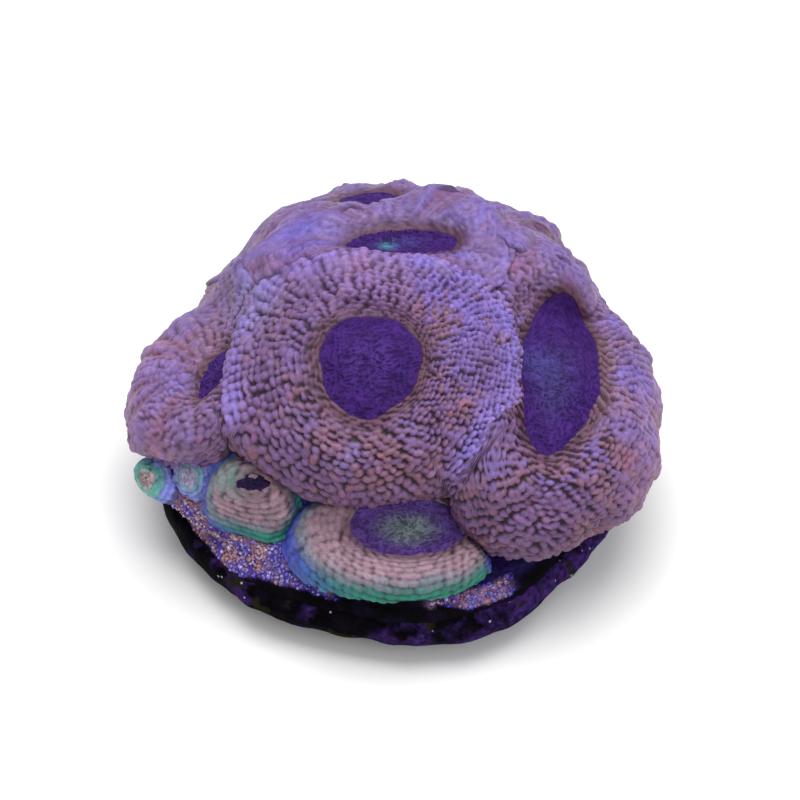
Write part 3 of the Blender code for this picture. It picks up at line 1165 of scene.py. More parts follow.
class Polyp:
    """One polyp: its beaded flesh and its oral disc."""

    # Headings for measuring extents, and finer ones for laying rows.
    TURNS = np.linspace(0.0, TAU, 181)
    DENSE = np.linspace(0.0, TAU, 721)

    # The fewest and most headings and rings of the flesh and of the disc, and the disc's mesh in mm.
    FLESH_HEADINGS, FLESH_RINGS = (64, 700), (12, 130)
    DISC_HEADINGS, DISC_RINGS = (64, 280), (10, 80)
    DISC_SPACING, DISC_RING = 0.15, 0.11

    # How widely the surface runs into the skeleton's and into a neighbour's, in mm.
    BOND, SEAM, TIGHT_SEAM, YOUNG_SEAM = 1.8, 4.4, 3.4, 0.6

    # The disc's thickness, its overlap with the flesh and its papillae's height, in mm.
    DISC_THICK, DISC_LAP, DISC_FUR = 0.35, 0.3, 0.16

    # How far the flesh runs on past its edge and its edges are sunk, and how deep it is
    # closed under the disc and under itself, in mm.
    TUCK, SUNK, ROOF, FLOOR = 0.6, 0.12, 0.5, 1.1

    # How many rows share their headings, how much of a bead's height it leans outwards, and
    # how much larger the beads of a large polyp grow away from the disc.
    ROWS_IN_STEP, LEAN, LARGER = 3, 0.4, 0.14

    # The powers of a dome's outline and of its top, how sharply domes are told apart where
    # they meet, the most cells in half a window each way and the wander's width in mm.
    SQUARE, ROUND, SHARP = 2.3, 0.7, 16.0
    WIDEST, TALLEST, WANDER_LUMP = 24, 20, 1.7

    # Factors on the pigment between folds, then painted shade on what faces down and painted light on what faces
    # up.
    STRIPE = np.array([1.06, 0.83, 0.66])
    UNDER, OVER = np.array([1.0, 0.85, 0.79]), np.array([0.98, 0.94, 1.15])

    def __init__(self, look: PolypLook, number: int, space: Distances) -> None:
        """Reads the polyp's solid and seeds its random draws.

        Args:
            look: how the polyp looks.
            number: its place among the polyps.
            space: the distances to all the solids.
        """
        self.look, self.habit, self.large = look, look.growth.value, look.growth is Growth.LARGE
        self.random = np.random.default_rng(100 + number)
        self.noise = Noise(200)
        blends = {"skeleton": self.BOND}
        blends.update({other.node: self.seam_with(other, space) for other in LOOKS if other.node != look.node})
        self.cushion = Cushion(look, space, blends, self.noise, self.habit.swelling)

    def seam_with(self, other: PolypLook, space: Distances) -> np.ndarray:
        """How widely two polyps' surfaces run together: more at the colony's front and back.

        Args:
            other: the neighbour's look.
            space: the distances to all the solids.

        Returns:
            The width in mm, one number or an array over the lattice.
        """
        if not self.large or other.growth is not Growth.LARGE:
            return np.array(self.YOUNG_SEAM)
        tight = {self.look.node, other.node} == {"polyp_centre", "polyp_right"}
        depth = space.low[1] + space.STEP * np.arange(space.shape[1])
        more = 1.6 * ramp(-depth, 3.0, 9.0) + 1.8 * ramp(depth, 5.0, 12.0)
        return (self.TIGHT_SEAM if tight else self.SEAM) + more[None, :, None]

    def rim_at(self, heading: np.ndarray) -> np.ndarray:
        """Distance from the mouth to the disc's rim: the far crossing of a slightly wavy ellipse.

        Args:
            heading: angles round the mouth.

        Returns:
            The distance in mm, kept inside the polyp's edge.
        """
        tilt = math.radians(self.look.disc_turn)
        wide, deep = self.look.disc
        shift_x, shift_y = self.look.disc_shift
        ray = np.stack([np.cos(heading - tilt) / wide, np.sin(heading - tilt) / deep])
        start = np.array([
            [(-shift_x * math.cos(tilt) - shift_y * math.sin(tilt)) / wide],
            [(shift_x * math.sin(tilt) - shift_y * math.cos(tilt)) / deep],
        ])
        length, lead = (ray**2).sum(axis=0), (ray * start).sum(axis=0)
        rim = (np.sqrt(lead**2 + length * (1.0 - (start**2).sum())) - lead) / length
        wave = 1.0 + 0.03 * np.sin(3.0 * heading + 1.0) + 0.02 * np.sin(7.0 * heading)
        return np.minimum(rim * wave, self.cushion.reach_at(heading) + 0.1)

    def stretch(self, heading: np.ndarray) -> np.ndarray:
        """How much wider than usual the rows lie apart: less on the polyp's fine side, more across from it."""
        return 1.0 + self.look.fine * (0.5 - ramp(np.cos(heading - self.look.fine_heading), -0.6, 0.8))

    def row_headings(self, depth: float, spacing: float) -> np.ndarray:
        """Headings of the beads in one row, evenly spaced along it, closer on the polyp's fine side.

        Args:
            depth: how far the row lies outside the disc's rim, in mm.
            spacing: from one bead to the next, in mm.

        Returns:
            The headings, without those where the row is past the polyp's edge.
        """
        dense = self.DENSE
        length = self.rim_at(dense) + depth * self.stretch(dense)
        points, _ = self.cushion.surface(dense, length)
        inside = length < self.cushion.reach_at(dense) + 1.5
        side = ramp(np.cos(dense - self.look.fine_heading), 0.1, 0.8)
        local = spacing * (1.0 - self.look.fine * side)
        strides = np.linalg.norm(np.diff(points, axis=0), axis=1) * inside[1:] / local[1:]
        passed = np.concatenate([[0.0], np.cumsum(strides)])
        count = max(int(passed[-1]), 3)
        spots = np.arange(count) * passed[-1] / count
        return np.interp(spots, passed + np.arange(len(dense)) * 1e-9, dense)

    def rings_under(self, shares: np.ndarray, limit: np.ndarray, heading: np.ndarray, depth: float) -> np.ndarray:
        """Rings that run under a patch of surface, to close it.

        Args:
            shares: how far out each ring lies, in the order wanted.
            limit: the length of the patch at each heading.
            heading: the patch's headings.
            depth: how far under the surface the rings lie, in mm.

        Returns:
            The rings, (how many, headings, 3).
        """
        length = shares[:, None] * limit[None]
        points, normals = self.cushion.surface(np.broadcast_to(heading, length.shape), length)
        return points - normals * depth

    def bead_rows(self) -> Beads:
        """Lays out the beads.

        Rows come in groups that share their headings, so that beads line up
        in chains away from the disc. On the polyp's lower side every other
        row is half a bead on, like bricks.

        Returns:
            The layout, without beads past the polyp's edge or badly out of size.
        """
        sizes, turns = self.look.beads, self.TURNS
        deepest = ((self.cushion.reach_at(turns) - self.rim_at(turns)) / self.stretch(turns)).max()
        depth, row, rows, group = 0.1, 0, [], None
        while depth < deepest:
            grown = float(ramp(np.array(depth), 0.5, sizes.rim_zone))
            larger = 1.0 + self.LARGER * float(ramp(np.array(depth), 3.5, 8.5)) if self.large else 1.0
            pitch = blend(sizes.rim_pitch, sizes.pitch, grown) * larger
            width = blend(sizes.rim_width, sizes.width, grown) * larger
            height = blend(sizes.rim_height, sizes.height, grown) * larger
            if row % self.ROWS_IN_STEP == 0:
                group = self.row_headings(depth, width)
            step = np.roll(group, -1) - group
            step[-1] += TAU
            brick = np.maximum(ramp(-np.sin(group), 0.0, 0.7), 1.0 - grown)
            shift = 0.5 * (row % 2) * brick + self.random.normal(0.0, 0.1, len(group))
            heading = group + step * shift
            length = self.rim_at(heading) + depth * self.stretch(heading)
            near, _ = self.cushion.surface(heading - step / 2.0, length)
            far, _ = self.cushion.surface(heading + step / 2.0, length)
            local = np.linalg.norm(far - near, axis=1)
            shape = np.broadcast_to([height, depth, grown], (len(group), 3))
            apart = pitch * self.stretch(heading)
            rows.append(np.column_stack([heading, length, local, local / step, apart, shape]))
            depth += pitch
            row += 1
        table = np.concatenate(rows)
        reach = self.cushion.reach_at(table[:, 0])
        table = table[(table[:, 1] < reach + 0.5) & (table[:, 2] > 0.15) & (table[:, 2] < 3.0)]
        return Beads(*table.T)

    def dressed(self, beads: Beads) -> tuple:
        """Gives every bead its size and colour.

        Args:
            beads: the layout.

        Returns:
            Half widths, half lengths, heights and turns, (4, count), and linear colours, (count, 3).
        """
        count, habit = len(beads.heading), self.habit
        points, normals = self.cushion.surface(beads.heading, beads.length)
        lower = np.maximum(ramp(-np.sin(beads.heading), -0.2, 0.7), 1.0 - beads.grown)
        smooth = puffed(points) if self.large else np.full(count, 0.5)
        swell, slim = (self.random.lognormal(0.0, habit.size_spread, count) for _ in range(2))
        rosy = self.random.random(count) < 0.03 * beads.grown
        broad = blend(0.52, 0.58, lower) + 0.1 * smooth if self.large else 0.7
        half_width = beads.width * broad * swell * slim
        half_length = beads.pitch * (blend(0.62, 0.54, lower) + 0.08 * smooth) * swell / slim
        uneven = self.random.lognormal(0.0, habit.height_spread, count)
        height = beads.height * blend(1.0, 0.45, smooth) * uneven
        turn = self.random.normal(0.0, habit.turn_spread, count) * beads.grown
        rim = self.rim_at(beads.heading)
        outer = (beads.length - rim) / np.maximum(self.cushion.reach_at(beads.heading) - rim, 0.5)
        colours = self.bead_colours(points, normals, beads.depth, outer, rosy)
        return np.stack([half_width, half_length, height, turn]), colours

    def raised(self, beads: Beads, grid: np.ndarray, length: np.ndarray) -> tuple:
        """Raises a dome on the surface for every bead.

        A dome is its height times (1 - u^p - v^p)^q, where u and v are the
        distances across and along the bead over its half sizes, p is SQUARE
        and q is ROUND. Domes run together by the logarithm of a sum of
        exponentials, and their colours by the same weights. Each bead is
        worked out on a window of the grid round its middle.

        Args:
            beads: the layout.
            grid: the surface's points, (rings, sectors, 3).
            length: each point's distance from the mouth.

        Returns:
            The rise in mm and linear colours over the grid.
        """
        rings, sectors = length.shape
        sizes, colours = self.dressed(beads)
        half_width, half_length, height, spin = (row[:, None] for row in sizes)
        column = np.round(beads.heading / TAU * sectors).astype(int)
        start, step = length[0][column % sectors], (length[1] - length[0])[column % sectors]
        row = np.round((beads.length - start) / step).astype(int)
        wide = int(min(np.ceil(np.max(sizes[0] * 1.1 / (beads.arc * TAU / sectors))), self.WIDEST))
        tall = int(min(np.ceil(np.max(sizes[1] * 1.1 / step)), self.TALLEST))
        across, along = np.meshgrid(np.arange(-wide, wide + 1), np.arange(-tall, tall + 1))
        columns, lines = column[:, None] + across.ravel(), row[:, None] + along.ravel()
        cell = np.clip(lines, 0, rings - 1) * sectors + columns % sectors
        wander = (self.noise.rough(grid + shift, self.WANDER_LUMP, 2) for shift in (0.0, 31.0))
        warp = [self.habit.wander * way.ravel() for way in wander]
        u = (columns * TAU / sectors - beads.heading[:, None]) * beads.arc[:, None] + warp[0][cell]
        v = (length.ravel() + warp[1])[cell] - beads.length[:, None]
        u, v = u * np.cos(spin) + v * np.sin(spin), v * np.cos(spin) - u * np.sin(spin)
        far = np.abs(u / half_width) ** self.SQUARE + np.abs(v / half_length) ** self.SQUARE
        dome = height * np.maximum(1.0 - far, 0.0) ** self.ROUND
        inside = (lines >= 0) & (lines < rings)
        weight = (np.exp(self.SHARP * dome) - 1.0 + 1e-3 * np.exp(-far)) * inside
        total, *mean = (
            np.bincount(cell.ravel(), weights=part.ravel(), minlength=rings * sectors)
            for part in (weight, *(weight * colours[:, channel, None] for channel in range(3)))
        )
        colour = (np.stack(mean, axis=-1) + 1e-6 * colours.mean(axis=0)) / (total + 1e-6)[:, None]
        return (np.log1p(total) / self.SHARP).reshape(rings, sectors), colour.reshape(rings, sectors, 3)

    def resolution(self) -> tuple:
        """Works out the flesh's mesh from its size and the look's mesh spacing.

        Returns:
            How many headings and how many rings it needs.
        """
        reach, rim = self.cushion.reach_at(self.TURNS), self.rim_at(self.TURNS)
        sectors = int(np.clip(TAU * (0.8 * reach.mean()) / self.look.spacing, *self.FLESH_HEADINGS))
        rings = int(np.clip(np.percentile(reach - rim, 90) / self.look.spacing, *self.FLESH_RINGS))
        return sectors, rings

    def make_flesh(self, material: bpy.types.Material) -> None:
        """Makes the flesh: one closed surface raised into beads, dipping under the disc and closed below.

        Args:
            material: what it wears.
        """
        cushion = self.cushion
        sectors, rings = self.resolution()
        heading = headings(sectors)
        inner, outer = self.rim_at(heading) - self.DISC_LAP, cushion.reach_at(heading) + self.TUCK
        length = inner + np.linspace(0.0, 1.0, rings)[:, None] * (outer - inner)
        turn = np.broadcast_to(heading, length.shape)
        base, normals = cushion.surface(turn, length)
        rise, colour = self.raised(self.bead_rows(), base, length)
        crown = np.clip(rise / (0.75 * self.look.beads.height), 0.0, 1.0)
        smooth = puffed(base) if self.large else np.full(length.shape, 0.4)
        fold = self.folds(turn, length) * smooth * ramp(length - inner, 1.0, 4.0)
        fade = ramp(outer - length, 0.0, 0.35) * ramp(length - inner, 0.0, 0.3)
        rise = (rise + fold) * fade - self.SUNK * (1.0 - fade)
        lean = self.LEAN * (1.0 - 0.5 * smooth) * rise
        points = base + normals * rise[..., None] + unit(np.gradient(base, axis=0)) * lean[..., None]
        stripe = 0.9 * ramp(-fold, -0.05, 0.25)[..., None]
        # Painted light from above and painted shade below, by which way the flesh faces.
        colour = self.painted_light_and_shade(blend(colour, colour * self.STRIPE, stripe), points)
        above = self.rings_under(np.linspace(0.1, 0.9, 5), inner, heading, self.ROOF)
        below = self.rings_under(np.linspace(0.95, 0.1, 7), outer, heading, self.FLOOR)
        whole = np.concatenate([above, points, below])
        skin = closed_grid(whole, *(cushion.start - cushion.up * depth for depth in (self.ROOF, self.FLOOR)))
        shown = slice(len(above), len(above) + rings)
        # The rings that close the flesh under its disc and under its edge are near-black: painted shade under the
        # overhangs.
        tint = np.broadcast_to(linear("1c0f1e"), whole.shape).copy()
        tint[shown] = colour
        # The crown drives painted crevice shade; on puffed, smooth flesh that painted shade is made lighter.
        even = np.zeros(whole.shape[:2])
        even[shown] = crown + (1.0 - crown) * 0.45 * smooth
        skin.values = {"tint": with_poles(tint), "crown": with_poles(even)}
        place(write_mesh(f"{self.look.node}_flesh", skin, material), self.habit.slot, self.look.node)

    def folds(self, turn: np.ndarray, length: np.ndarray) -> np.ndarray:
        """Low folds that run away from the disc: noise that changes with the heading and hardly outwards."""
        spots = np.stack([14.0 * np.cos(turn), 14.0 * np.sin(turn), 0.2 * length], axis=-1)
        return 1.2 * self.look.fold * self.noise.at(spots, 1.9)

    def painted_light_and_shade(self, colour: np.ndarray, points: np.ndarray) -> np.ndarray:
        """Paints light and shade: tints what faces up bluer, as painted light from above, and what faces down
        browner and darker, as painted shade.

        The facing is the vertical part of the cross product of the grid's two
        directions.

        Args:
            colour: linear colours over the grid.
            points: the grid, (rings, sectors, 3).

        Returns:
            The tinted colours.
        """
        if not self.large:
            return colour
        across = np.roll(points, -1, axis=1) - np.roll(points, 1, axis=1)
        facing = unit(np.cross(np.gradient(points, axis=0), across))[..., 2]
        return colour * blend(self.UNDER, self.OVER, ramp(facing, -0.1, 0.95)[..., None])

    def bead_colours(
        self, points: np.ndarray, normals: np.ndarray, depth: np.ndarray, outer: np.ndarray, rosy: np.ndarray,
    ) -> np.ndarray:
        """Each bead's tint.

        A large polyp is tan by the disc and mauve farther out, with painted
        light making it violet where it faces up and painted shade darkening
        what faces the front. A young one runs from tan through slate to blue,
        green where it hangs down. A bud is teal inside blue.

        Args:
            points: where the beads are.
            normals: which way they face.
            depth: how far each lies outside the disc's rim, in mm.
            outer: 0 at the disc's rim and 1 at the polyp's edge.
            rosy: which ones are redder than their neighbours.

        Returns:
            Linear colours, (count, 3).
        """
        patch = self.noise.rough(points, 3.0, 3)
        value = self.random.normal(1.0, 0.08, len(points)) * (1.0 + 0.08 * patch)
        left = ramp(-normals[:, 0], 0.1, 0.7)
        if self.large:
            mood = patch + self.random.normal(0.0, 0.35, len(points))
            puff = puffed(points)
            colour = dyed(linear("7a5c88"), "866070", 0.9 * ramp(mood, -0.2, 0.9))
            colour = dyed(colour, "957fb6", 0.75 * puff)
            colour = blend(linear("70485c"), colour, ramp(depth, 0.3, 2.4)[:, None])
            # Painted light: beads facing up, and a little towards +X, run violet as if lit from above.
            facing = ramp(normals[:, 2] + 0.35 * normals[:, 0] + 0.25 * self.noise.at(points, 5.0), 0.75, 1.2)
            facing = facing * ramp(depth, 0.8, 3.0) * ramp(0.9 - mood, 0.0, 1.2)
            colour = dyed(colour, "8270c0", 0.85 * facing)
            # Lavender on the outer ring where it faces up: partly the ring's own colour, partly painted light from
            # above.
            low = ramp(outer, 0.72, 0.95) * ramp(normals[:, 2], 0.3, 0.7) * (1.0 - puff)
            colour = dyed(colour, "9084d8", 0.6 * low)
            colour = np.where(rosy[:, None], colour * (1.08, 0.9, 0.86), colour)
            # Painted shade darkens what faces the front, and the puffed outer sides are made lighter.
            side = puff * (1.0 - ramp(points[:, 1], 6.0, 14.0))
            value = value * blend(1.0, 0.88, ramp(-normals[:, 1], 0.5, 1.0)) * (1.0 + 0.2 * side)
        elif self.look.growth is Growth.YOUNG:
            low = ramp(-normals[:, 1], 0.35, 0.7) * (1.0 - 0.8 * left)
            edge = dyed(linear("4856c0"), "228874", low)
            colour = dyed(linear("a88a9a"), "68828e", 0.85 * ramp(outer + 0.22 * left + 0.12 * patch, 0.5, 0.8))
            colour = blend(colour, edge, ramp(outer + 0.12 * left, 0.74, 0.92)[:, None])
        else:
            colour = dyed(linear("c0b2b4"), "62b8a8", ramp(outer + 0.3 * patch, 0.1, 0.35))
            colour = dyed(colour, "8894ee", ramp(outer + 0.3 * patch, 0.5, 0.9))
        return np.clip(stained(colour * value[:, None], points, on_disc=False), 0.0, 1.0)

    def make_disc(self, material: bpy.types.Material) -> None:
        """Makes the oral disc: a dished, velvety surface of fine wavy papillae.

        The papillae are ridged noise, one less its distance from zero, whose
        lattice is warped by a coarser one.

        Args:
            material: what it wears.
        """
        reach = float(self.rim_at(self.TURNS).max())
        sectors = int(np.clip(TAU * reach / self.DISC_SPACING, *self.DISC_HEADINGS))
        steps = int(np.clip(reach / self.DISC_RING, *self.DISC_RINGS))
        heading = headings(sectors)
        share = (np.arange(steps) + 1.0) / steps
        rim = self.rim_at(heading) + self.DISC_LAP
        length = share[:, None] * rim[None]
        points, normals = self.cushion.surface(np.broadcast_to(heading, length.shape), length)
        wander = np.stack([self.noise.at(points + shift, 1.1) for shift in (0.0, 50.0, 90.0)], axis=-1)
        coarse = 1.0 - np.abs(self.noise.at((points + 0.6 * wander) * (0.5, 1.0, 1.0), 0.27)) * 1.9
        fur = 0.7 * coarse + 0.3 * (1.0 - np.abs(self.noise.at(points + 20.0, 0.17)) * 1.9)
        edge = 1.0 - ramp(share, 0.9, 1.0)[:, None]
        points = points + normals * (self.DISC_FUR * fur * edge - 0.02)[..., None]
        tint = dyed(linear(self.look.disc_middle), self.look.disc_tint, ramp(share, 0.1, 0.7)[:, None])
        tint = stained(tint * (1.0 + 0.22 * self.noise.rough(points, 1.2, 3))[..., None], points, on_disc=True)
        under = self.rings_under(np.linspace(0.97, 0.1, 8), rim, heading, self.DISC_THICK)
        tint, fur = (np.concatenate([shown, np.repeat(shown[-1:], len(under), axis=0)]) for shown in (tint, fur))
        pole = self.cushion.start
        skin = closed_grid(np.concatenate([points, under]), pole, pole - self.cushion.up * self.DISC_THICK)
        skin.values = {"tint": with_poles(tint), "crown": np.clip(np.append(fur.ravel(), [0.5, 0.5]), 0.0, 1.0)}
        place(write_mesh(f"{self.look.node}_disc", skin, material), self.habit.slot)


YOUNG_BEADS = BeadSizes(
    width=1.0, pitch=0.76, height=0.34, rim_width=1.1, rim_pitch=0.6, rim_height=0.2, rim_zone=1.5,
)
BUD_BEADS = BeadSizes(
    width=0.85, pitch=0.65, height=0.3, rim_width=0.7, rim_pitch=0.45, rim_height=0.3, rim_zone=1.0,
)
YOUNG = {"growth": Growth.YOUNG, "beads": YOUNG_BEADS, "fold": 0.1}
BUD = {"growth": Growth.BUD, "beads": BUD_BEADS, "spacing": 0.1}

LOOKS = (
    PolypLook("polyp_centre", (5.6, 6.6), fine_heading=0.2, fine=0.32),
    PolypLook("polyp_right", (4.7, 11.9), (1.6, 4.3), disc_turn=-9.0, hem=11.2, disc_middle="4a3a7c"),
    PolypLook("polyp_left", (1.9, 3.6), (0.6, -1.2), disc_turn=-20.0, spacing=0.18),
    PolypLook("polyp_back", (6.3, 2.4), (0.0, -0.2), disc_turn=9.0, spacing=0.18, disc_middle="463a7c"),
    PolypLook("polyp_far_back", (3.9, 3.0), spacing=0.24),
    PolypLook("polyp_back_right", (1.3, 0.7), spacing=0.24, disc_tint="7c5a80", disc_middle="6a4878"),
    PolypLook(
        "polyp_front", (6.6, 3.6), (0.0, 0.5), hem=9.8, spacing=0.13,
        disc_tint="6a4c9a", disc_middle="8a9c9c", **YOUNG,
    ),
    # Its disc is dark violet like the others, tinted darker still as painted shade under the centre polyp's edge.
    PolypLook(
        "polyp_front_left", (1.7, 0.7), mouth_shift=(1.3, 1.4, 2.9), hem=10.4, spacing=0.12,
        disc_tint="2c1a44", disc_middle="22163c", **YOUNG,
    ),
    PolypLook("bud_left", (0.9, 0.8), disc_tint="b9a8a8", disc_middle="c8b4ac", **BUD),
    PolypLook("bud_small", (0.6, 0.6), disc_tint="9aa8c0", disc_middle="b0b8c8", **BUD),
)

SOFT_NODES = tuple(look.node for look in LOOKS)


@dataclass
class Flesh:
    """All the polyps."""

    looks: tuple = LOOKS

    def make(self, space: Distances) -> None:
        """Builds each polyp.

        Args:
            space: the distances to all the solids.
        """
        flesh, disc = BeadFinish().make(), DiscFinish().make()
        for number, look in enumerate(self.looks):
            polyp = Polyp(look, number, space)
            polyp.make_flesh(flesh)
            polyp.make_disc(disc)


@dataclass
class Stone:
    """The stone: worn, rough, a little out of round and drawn in at its foot.

    The lumps are the relief's width and the roughness its depth. The sides
    are swelled by the skin's thickness, and sunk under the crust above the
    shoulder. All are in mm.
    """

    sectors: int = 320
    strides: int = 240
    roughness: float = 0.3
    lump: float = 2.6
    skin: float = 0.3
    sunk: float = 0.9
    shoulder: tuple = (5.8, 7.2)
    foot: float = 1.8
    foot_height: float = 3.6

    def make(self, space: Distances) -> None:
        """Follows the CAD stone from its top to the middle of its flat foot.

        Args:
            space: the distances to all the solids.
        """
        low, high = (np.array(corner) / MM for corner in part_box("stone"))
        top = np.array([(low[0] + high[0]) / 2.0, (low[1] + high[1]) / 2.0, high[2]])
        shell = Shell(space, space.fields["stone"], top, UP, self.strides)
        radius = np.linalg.norm(shell.grid[..., :2] - top[:2], axis=-1)
        shell.end_where((shell.normals[..., 2] < -0.5) & (radius < 0.8))
        relief = Noise(11).rough(shell.grid, self.lump, 4)
        shell.push(self.skin + self.roughness * relief - self.sunk * ramp(shell.grid[..., 2], *self.shoulder))
        heading = headings(self.sectors)
        zones = ((0.03, 0.36, 8), (0.37, 0.66, 64), (0.68, 1.0, 12))
        rings = np.concatenate([np.linspace(*zone) for zone in zones])
        length = rings[:, None] * shell.reach_at(heading)[None]
        points, _ = shell.surface(np.broadcast_to(heading, length.shape), length)
        drawn = self.foot * ramp(self.foot_height - points[..., 2], 0.0, self.foot_height)
        points = out_of_round(points)
        points[..., :2] *= (1.0 - drawn / high[0])[..., None]
        points[..., 2] = np.maximum(points[..., 2], 0.0)
        foot = np.array([top[0], top[1], 0.0])
        piece = write_mesh("stone_surface", closed_grid(points, shell.start, foot), StoneFinish().make())
        place(piece, "stone", "stone")


@dataclass
class Rim:
    """The skeleton's bare rim: a granular crust on top, black film down over the stone's shoulder.

    The film is as thick as its field says, rough by its pits and thicker
    where there is crust. Below the brink it sinks into the stone. All are in
    mm, and bearings round the colony are in degrees.
    """

    sectors: int = 384
    rings: int = 60
    strides: int = 200
    start: tuple = (0.0, 0.0, 26.0)
    shown: float = 12.0
    grains: int = 8500
    grain: float = 0.19
    brink_height: float = 6.4
    foot_height: float = 5.7
    joint: float = 1.4
    film: float = 0.05
    pits: float = 0.16
    crust_rise: float = 0.12
    sunk: float = 0.6
    noise: Noise = field(default_factory=lambda: Noise(12))

    def make(self, space: Distances) -> None:
        """Follows the CAD skeleton over its edge to the stone, then scatters grains on the crust.

        Args:
            space: the distances to all the solids.
        """
        merged = space.merged("skeleton", {"stone": self.joint})
        shell = Shell(space, merged, np.array(self.start), UP, self.strides)
        shell.end_where(shell.grid[..., 2] < self.brink_height)
        brink = shell.reach
        shell.end_where(shell.grid[..., 2] < self.foot_height)
        crust = self.crust(shell.grid, shell.normals)
        sunk = self.sunk * (1.0 - ramp(shell.grid[..., 2], self.foot_height, self.brink_height))
        shell.push(self.film + self.pits * self.noise.rough(shell.grid, 1.2, 3) + self.crust_rise * crust - sunk)
        heading = headings(self.sectors)
        length = shell.reach_at(heading)[None] - self.shown * (1.0 - np.linspace(0.0, 1.0, self.rings))[:, None]
        points, normals = shell.surface(np.broadcast_to(heading, length.shape), length)
        tint = self.tints(points, self.crust(points, normals))
        skin = closed_grid(out_of_round(points), UP * 10.0, UP * 7.0)
        skin.values = {"tint": with_poles(tint)}
        place(write_mesh("skeleton_rim", skin, CrustFinish().make()), "skeleton", "skeleton")
        self.scatter(shell, brink)

    @staticmethod
    def tissue(points: np.ndarray) -> np.ndarray:
        """Finds where dark tissue covers the crust, under the right polyp's edge.

        Args:
            points: places on the rim.

        Returns:
            From 0, bare, to 1, covered.
        """
        bearing = np.arctan2(points[..., 1], points[..., 0])
        above = np.maximum(ramp(bearing, -1.05, -0.95), ramp(points[..., 2], 8.0, 8.5))
        return ramp(bearing, -1.42, -1.3) * ramp(-bearing, -1.0, -0.6) * above

    def crust(self, points: np.ndarray, normals: np.ndarray) -> np.ndarray:
        """Finds where the crust lies: on the rim above the stone, but not under the front polyp.

        Args:
            points: places on the rim.
            normals: which way it faces there.

        Returns:
            From 0, bare, to 1, crusted.
        """
        bearing = np.degrees(np.arctan2(points[..., 1], points[..., 0]))
        gap = ramp(bearing, -112.0, -104.0) * ramp(-bearing, 79.0, 83.0)
        height = points[..., 2] + 0.3 * self.noise.rough(points, 1.6, 2)
        height = height + 0.9 * ramp(-bearing, 118.0, 142.0) + 0.7 * ramp(bearing, -80.0, -64.0)
        facing = np.maximum(ramp(normals[..., 2], 0.1, 0.4), ramp(points[..., 2], 7.4, 7.7))
        return ramp(height, 7.3, 7.6) * facing * (1.0 - gap) * (1.0 - self.tissue(points))

    def tints(self, points: np.ndarray, crust: np.ndarray) -> np.ndarray:
        """The film's colours: violet and pink crust, blue-violet tissue, black elsewhere.

        Args:
            points: places on the rim.
            crust: how crusted each is.

        Returns:
            Linear colours.
        """
        patch = self.noise.rough(points, 1.5, 3)
        film = dyed(linear("060409"), "120c20", ramp(patch, 0.0, 0.8))
        crusted = dyed(linear("6654c4"), "a87c9c", ramp(patch, -0.3, 0.5))
        colour = blend(film, crusted, crust[..., None])
        return dyed(colour, "22164e", self.tissue(points) * ramp(points[..., 2], 6.9, 8.0))

    def scatter(self, shell: Shell, brink: np.ndarray) -> None:
        """Drops grains at random on the crust, thickest at its middle.

        Args:
            shell: the rim's surface.
            brink: the length of each of its curves down to the brink.
        """
        random = np.random.default_rng(13)
        count = self.grains * 6
        heading = random.uniform(0.0, TAU, count)
        length = round_turn(brink, heading) - random.uniform(0.0, self.shown - 3.0, count)
        points, normals = shell.surface(heading, length)
        crust = self.crust(points, normals)
        kept = np.flatnonzero(random.random(count) < crust * 0.9)[:self.grains]
        points, normals, crust, count = points[kept], normals[kept], crust[kept], len(kept)
        size = self.grain * random.lognormal(0.0, 0.3, count)
        side = unit(np.cross(unit(random.normal(size=(count, 3))), normals))
        axes = np.stack([
            side * size[:, None],
            np.cross(normals, side) * (size * random.uniform(0.6, 1.0, count))[:, None],
            normals * (size * random.uniform(0.5, 1.1, count))[:, None],
        ], axis=1)
        warm = self.noise.rough(points, 2.2, 3) + 1.1 * ramp(points[:, 1], -20.0, -13.0)
        colours = dyed(linear("8c7ce0"), "d29a98", ramp(warm, -0.1, 0.7))
        colours = dyed(colours, "5648d8", 0.7 * ramp(self.noise.rough(points + 40.0, 1.4, 2), 0.1, 0.6))
        # Painted glints: some grains at random run to near-white lavender, as sparkle.
        colours = dyed(colours, "dcd2ff", 0.9 * ramp(random.random(count), 0.55, 1.0))
        # Grains where the crust thins out, at its edges, run to deep blue-violet: painted shade at the crust's
        # edge.
        colours = blend(linear("3c34d0"), colours, ramp(crust, 0.35, 0.95)[:, None])
        colours = colours * random.uniform(0.45, 1.15, count)[:, None]
        skin = scattered(self.grain_form(), out_of_round(points + normals * 0.08), axes, colours)
        place(write_mesh("skeleton_grains", skin, GrainFinish().make()), "skeleton")

    @staticmethod
    def grain_form() -> Skin:
        """A crystal of ten faces at unit size, a five-sided ring between two poles."""
        turns = headings(5)
        return closed_grid(np.stack([np.cos(turns), np.sin(turns), 0.0 * turns], axis=-1)[None], UP, -UP)


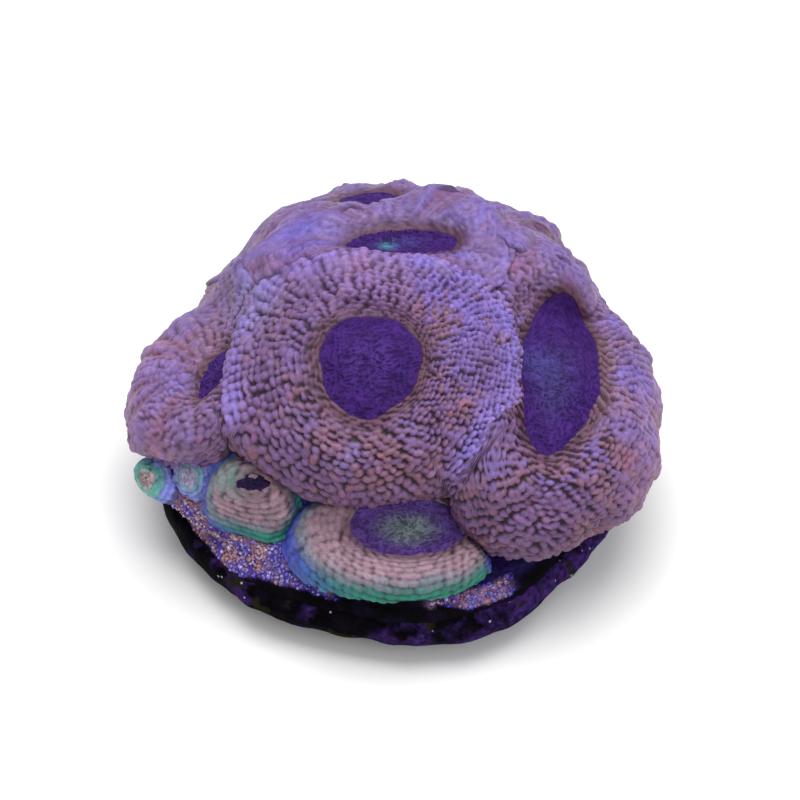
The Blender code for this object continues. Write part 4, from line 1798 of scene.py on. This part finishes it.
@dataclass
class Studio:
    """Floor, soft lights and camera.

    Lengths are in metres, and the sensor in mm. The frame counts as so many
    parts wide, of which so many show one mm at the target's distance. The
    shift puts the target at its place in the frame, counted in those parts
    from the left and the top.
    """

    elevation: float = math.radians(47.0)
    distance: float = 0.32
    sensor: float = 36.0
    parts: float = 800.0
    parts_per_mm: float = 8.95
    target: tuple = (0.0, 0.0, 0.0125)
    target_at: tuple = (395.0, 420.0)
    floor_half: float = 3.0
    lamps: tuple = (("soft_box", (0.02, 0.12, 0.6), 0.5, 3.4), ("side_box", (0.35, -0.5, 0.5), 0.4, 1.2))

    def make(self) -> None:
        """Builds all of it."""
        self.make_floor()
        self.make_lights()
        self.make_camera()

    def make_floor(self) -> None:
        """Makes a wide plain pale floor."""
        mesh = bpy.data.meshes.new("floor")
        half = self.floor_half
        corners = [(-half, -half, 0.0), (half, -half, 0.0), (half, half, 0.0), (-half, half, 0.0)]
        mesh.from_pydata(corners, [], [(0, 1, 2, 3)])
        material = bpy.data.materials.new("matt_white_board")
        material.use_nodes = True
        shader = material.node_tree.nodes["Principled BSDF"]
        shader.inputs["Base Color"].default_value = rgba("f4f4f4")
        shader.inputs["Roughness"].default_value = 0.9
        mesh.materials.append(material)
        floor = bpy.data.objects.new("floor", mesh)
        bpy.context.scene.collection.objects.link(floor)

    def make_lights(self) -> None:
        """Hangs a large soft box overhead and a weaker one at the side, facing the origin, in a pale surround."""
        world = bpy.data.worlds.new("studio")
        world.use_nodes = True
        background = world.node_tree.nodes["Background"]
        background.inputs["Color"].default_value = rgba("ffffff")
        background.inputs["Strength"].default_value = 0.6
        bpy.context.scene.world = world
        for name, spot, size, power in self.lamps:
            light = bpy.data.lights.new(name, "AREA")
            light.shape = "SQUARE"
            light.size = size
            light.energy = power
            lamp = bpy.data.objects.new(name, light)
            lamp.location = spot
            lamp.rotation_euler = lamp.location.to_track_quat("Z", "Y").to_euler()
            bpy.context.scene.collection.objects.link(lamp)

    def make_camera(self) -> None:
        """Makes the camera, which looks along +Y and down at the colony's middle."""
        data = bpy.data.cameras.new("camera")
        data.sensor_width = self.sensor
        data.lens = self.sensor * self.distance / (self.parts / self.parts_per_mm * MM)
        data.shift_x = (self.parts / 2.0 - self.target_at[0]) / self.parts
        data.shift_y = (self.target_at[1] - self.parts / 2.0) / self.parts
        data.clip_start = 0.01
        camera = bpy.data.objects.new("camera", data)
        x, y, z = self.target
        back, rise = self.distance * math.cos(self.elevation), self.distance * math.sin(self.elevation)
        camera.location = (x, y - back, z + rise)
        camera.rotation_euler = (math.pi / 2.0 - self.elevation, 0.0, 0.0)
        bpy.context.scene.collection.objects.link(camera)
        bpy.context.scene.camera = camera


def main() -> None:
    """Builds the studio and every part of the colony in order."""
    logging.basicConfig(level=logging.INFO, format="%(message)s")
    bpy.context.scene.view_settings.view_transform = "Standard"
    Studio().make()
    space = Distances((*SOFT_NODES, "skeleton", "stone"))
    Stone().make(space)
    Rim().make(space)
    Flesh().make(space)


if __name__ == "__main__":
    main()
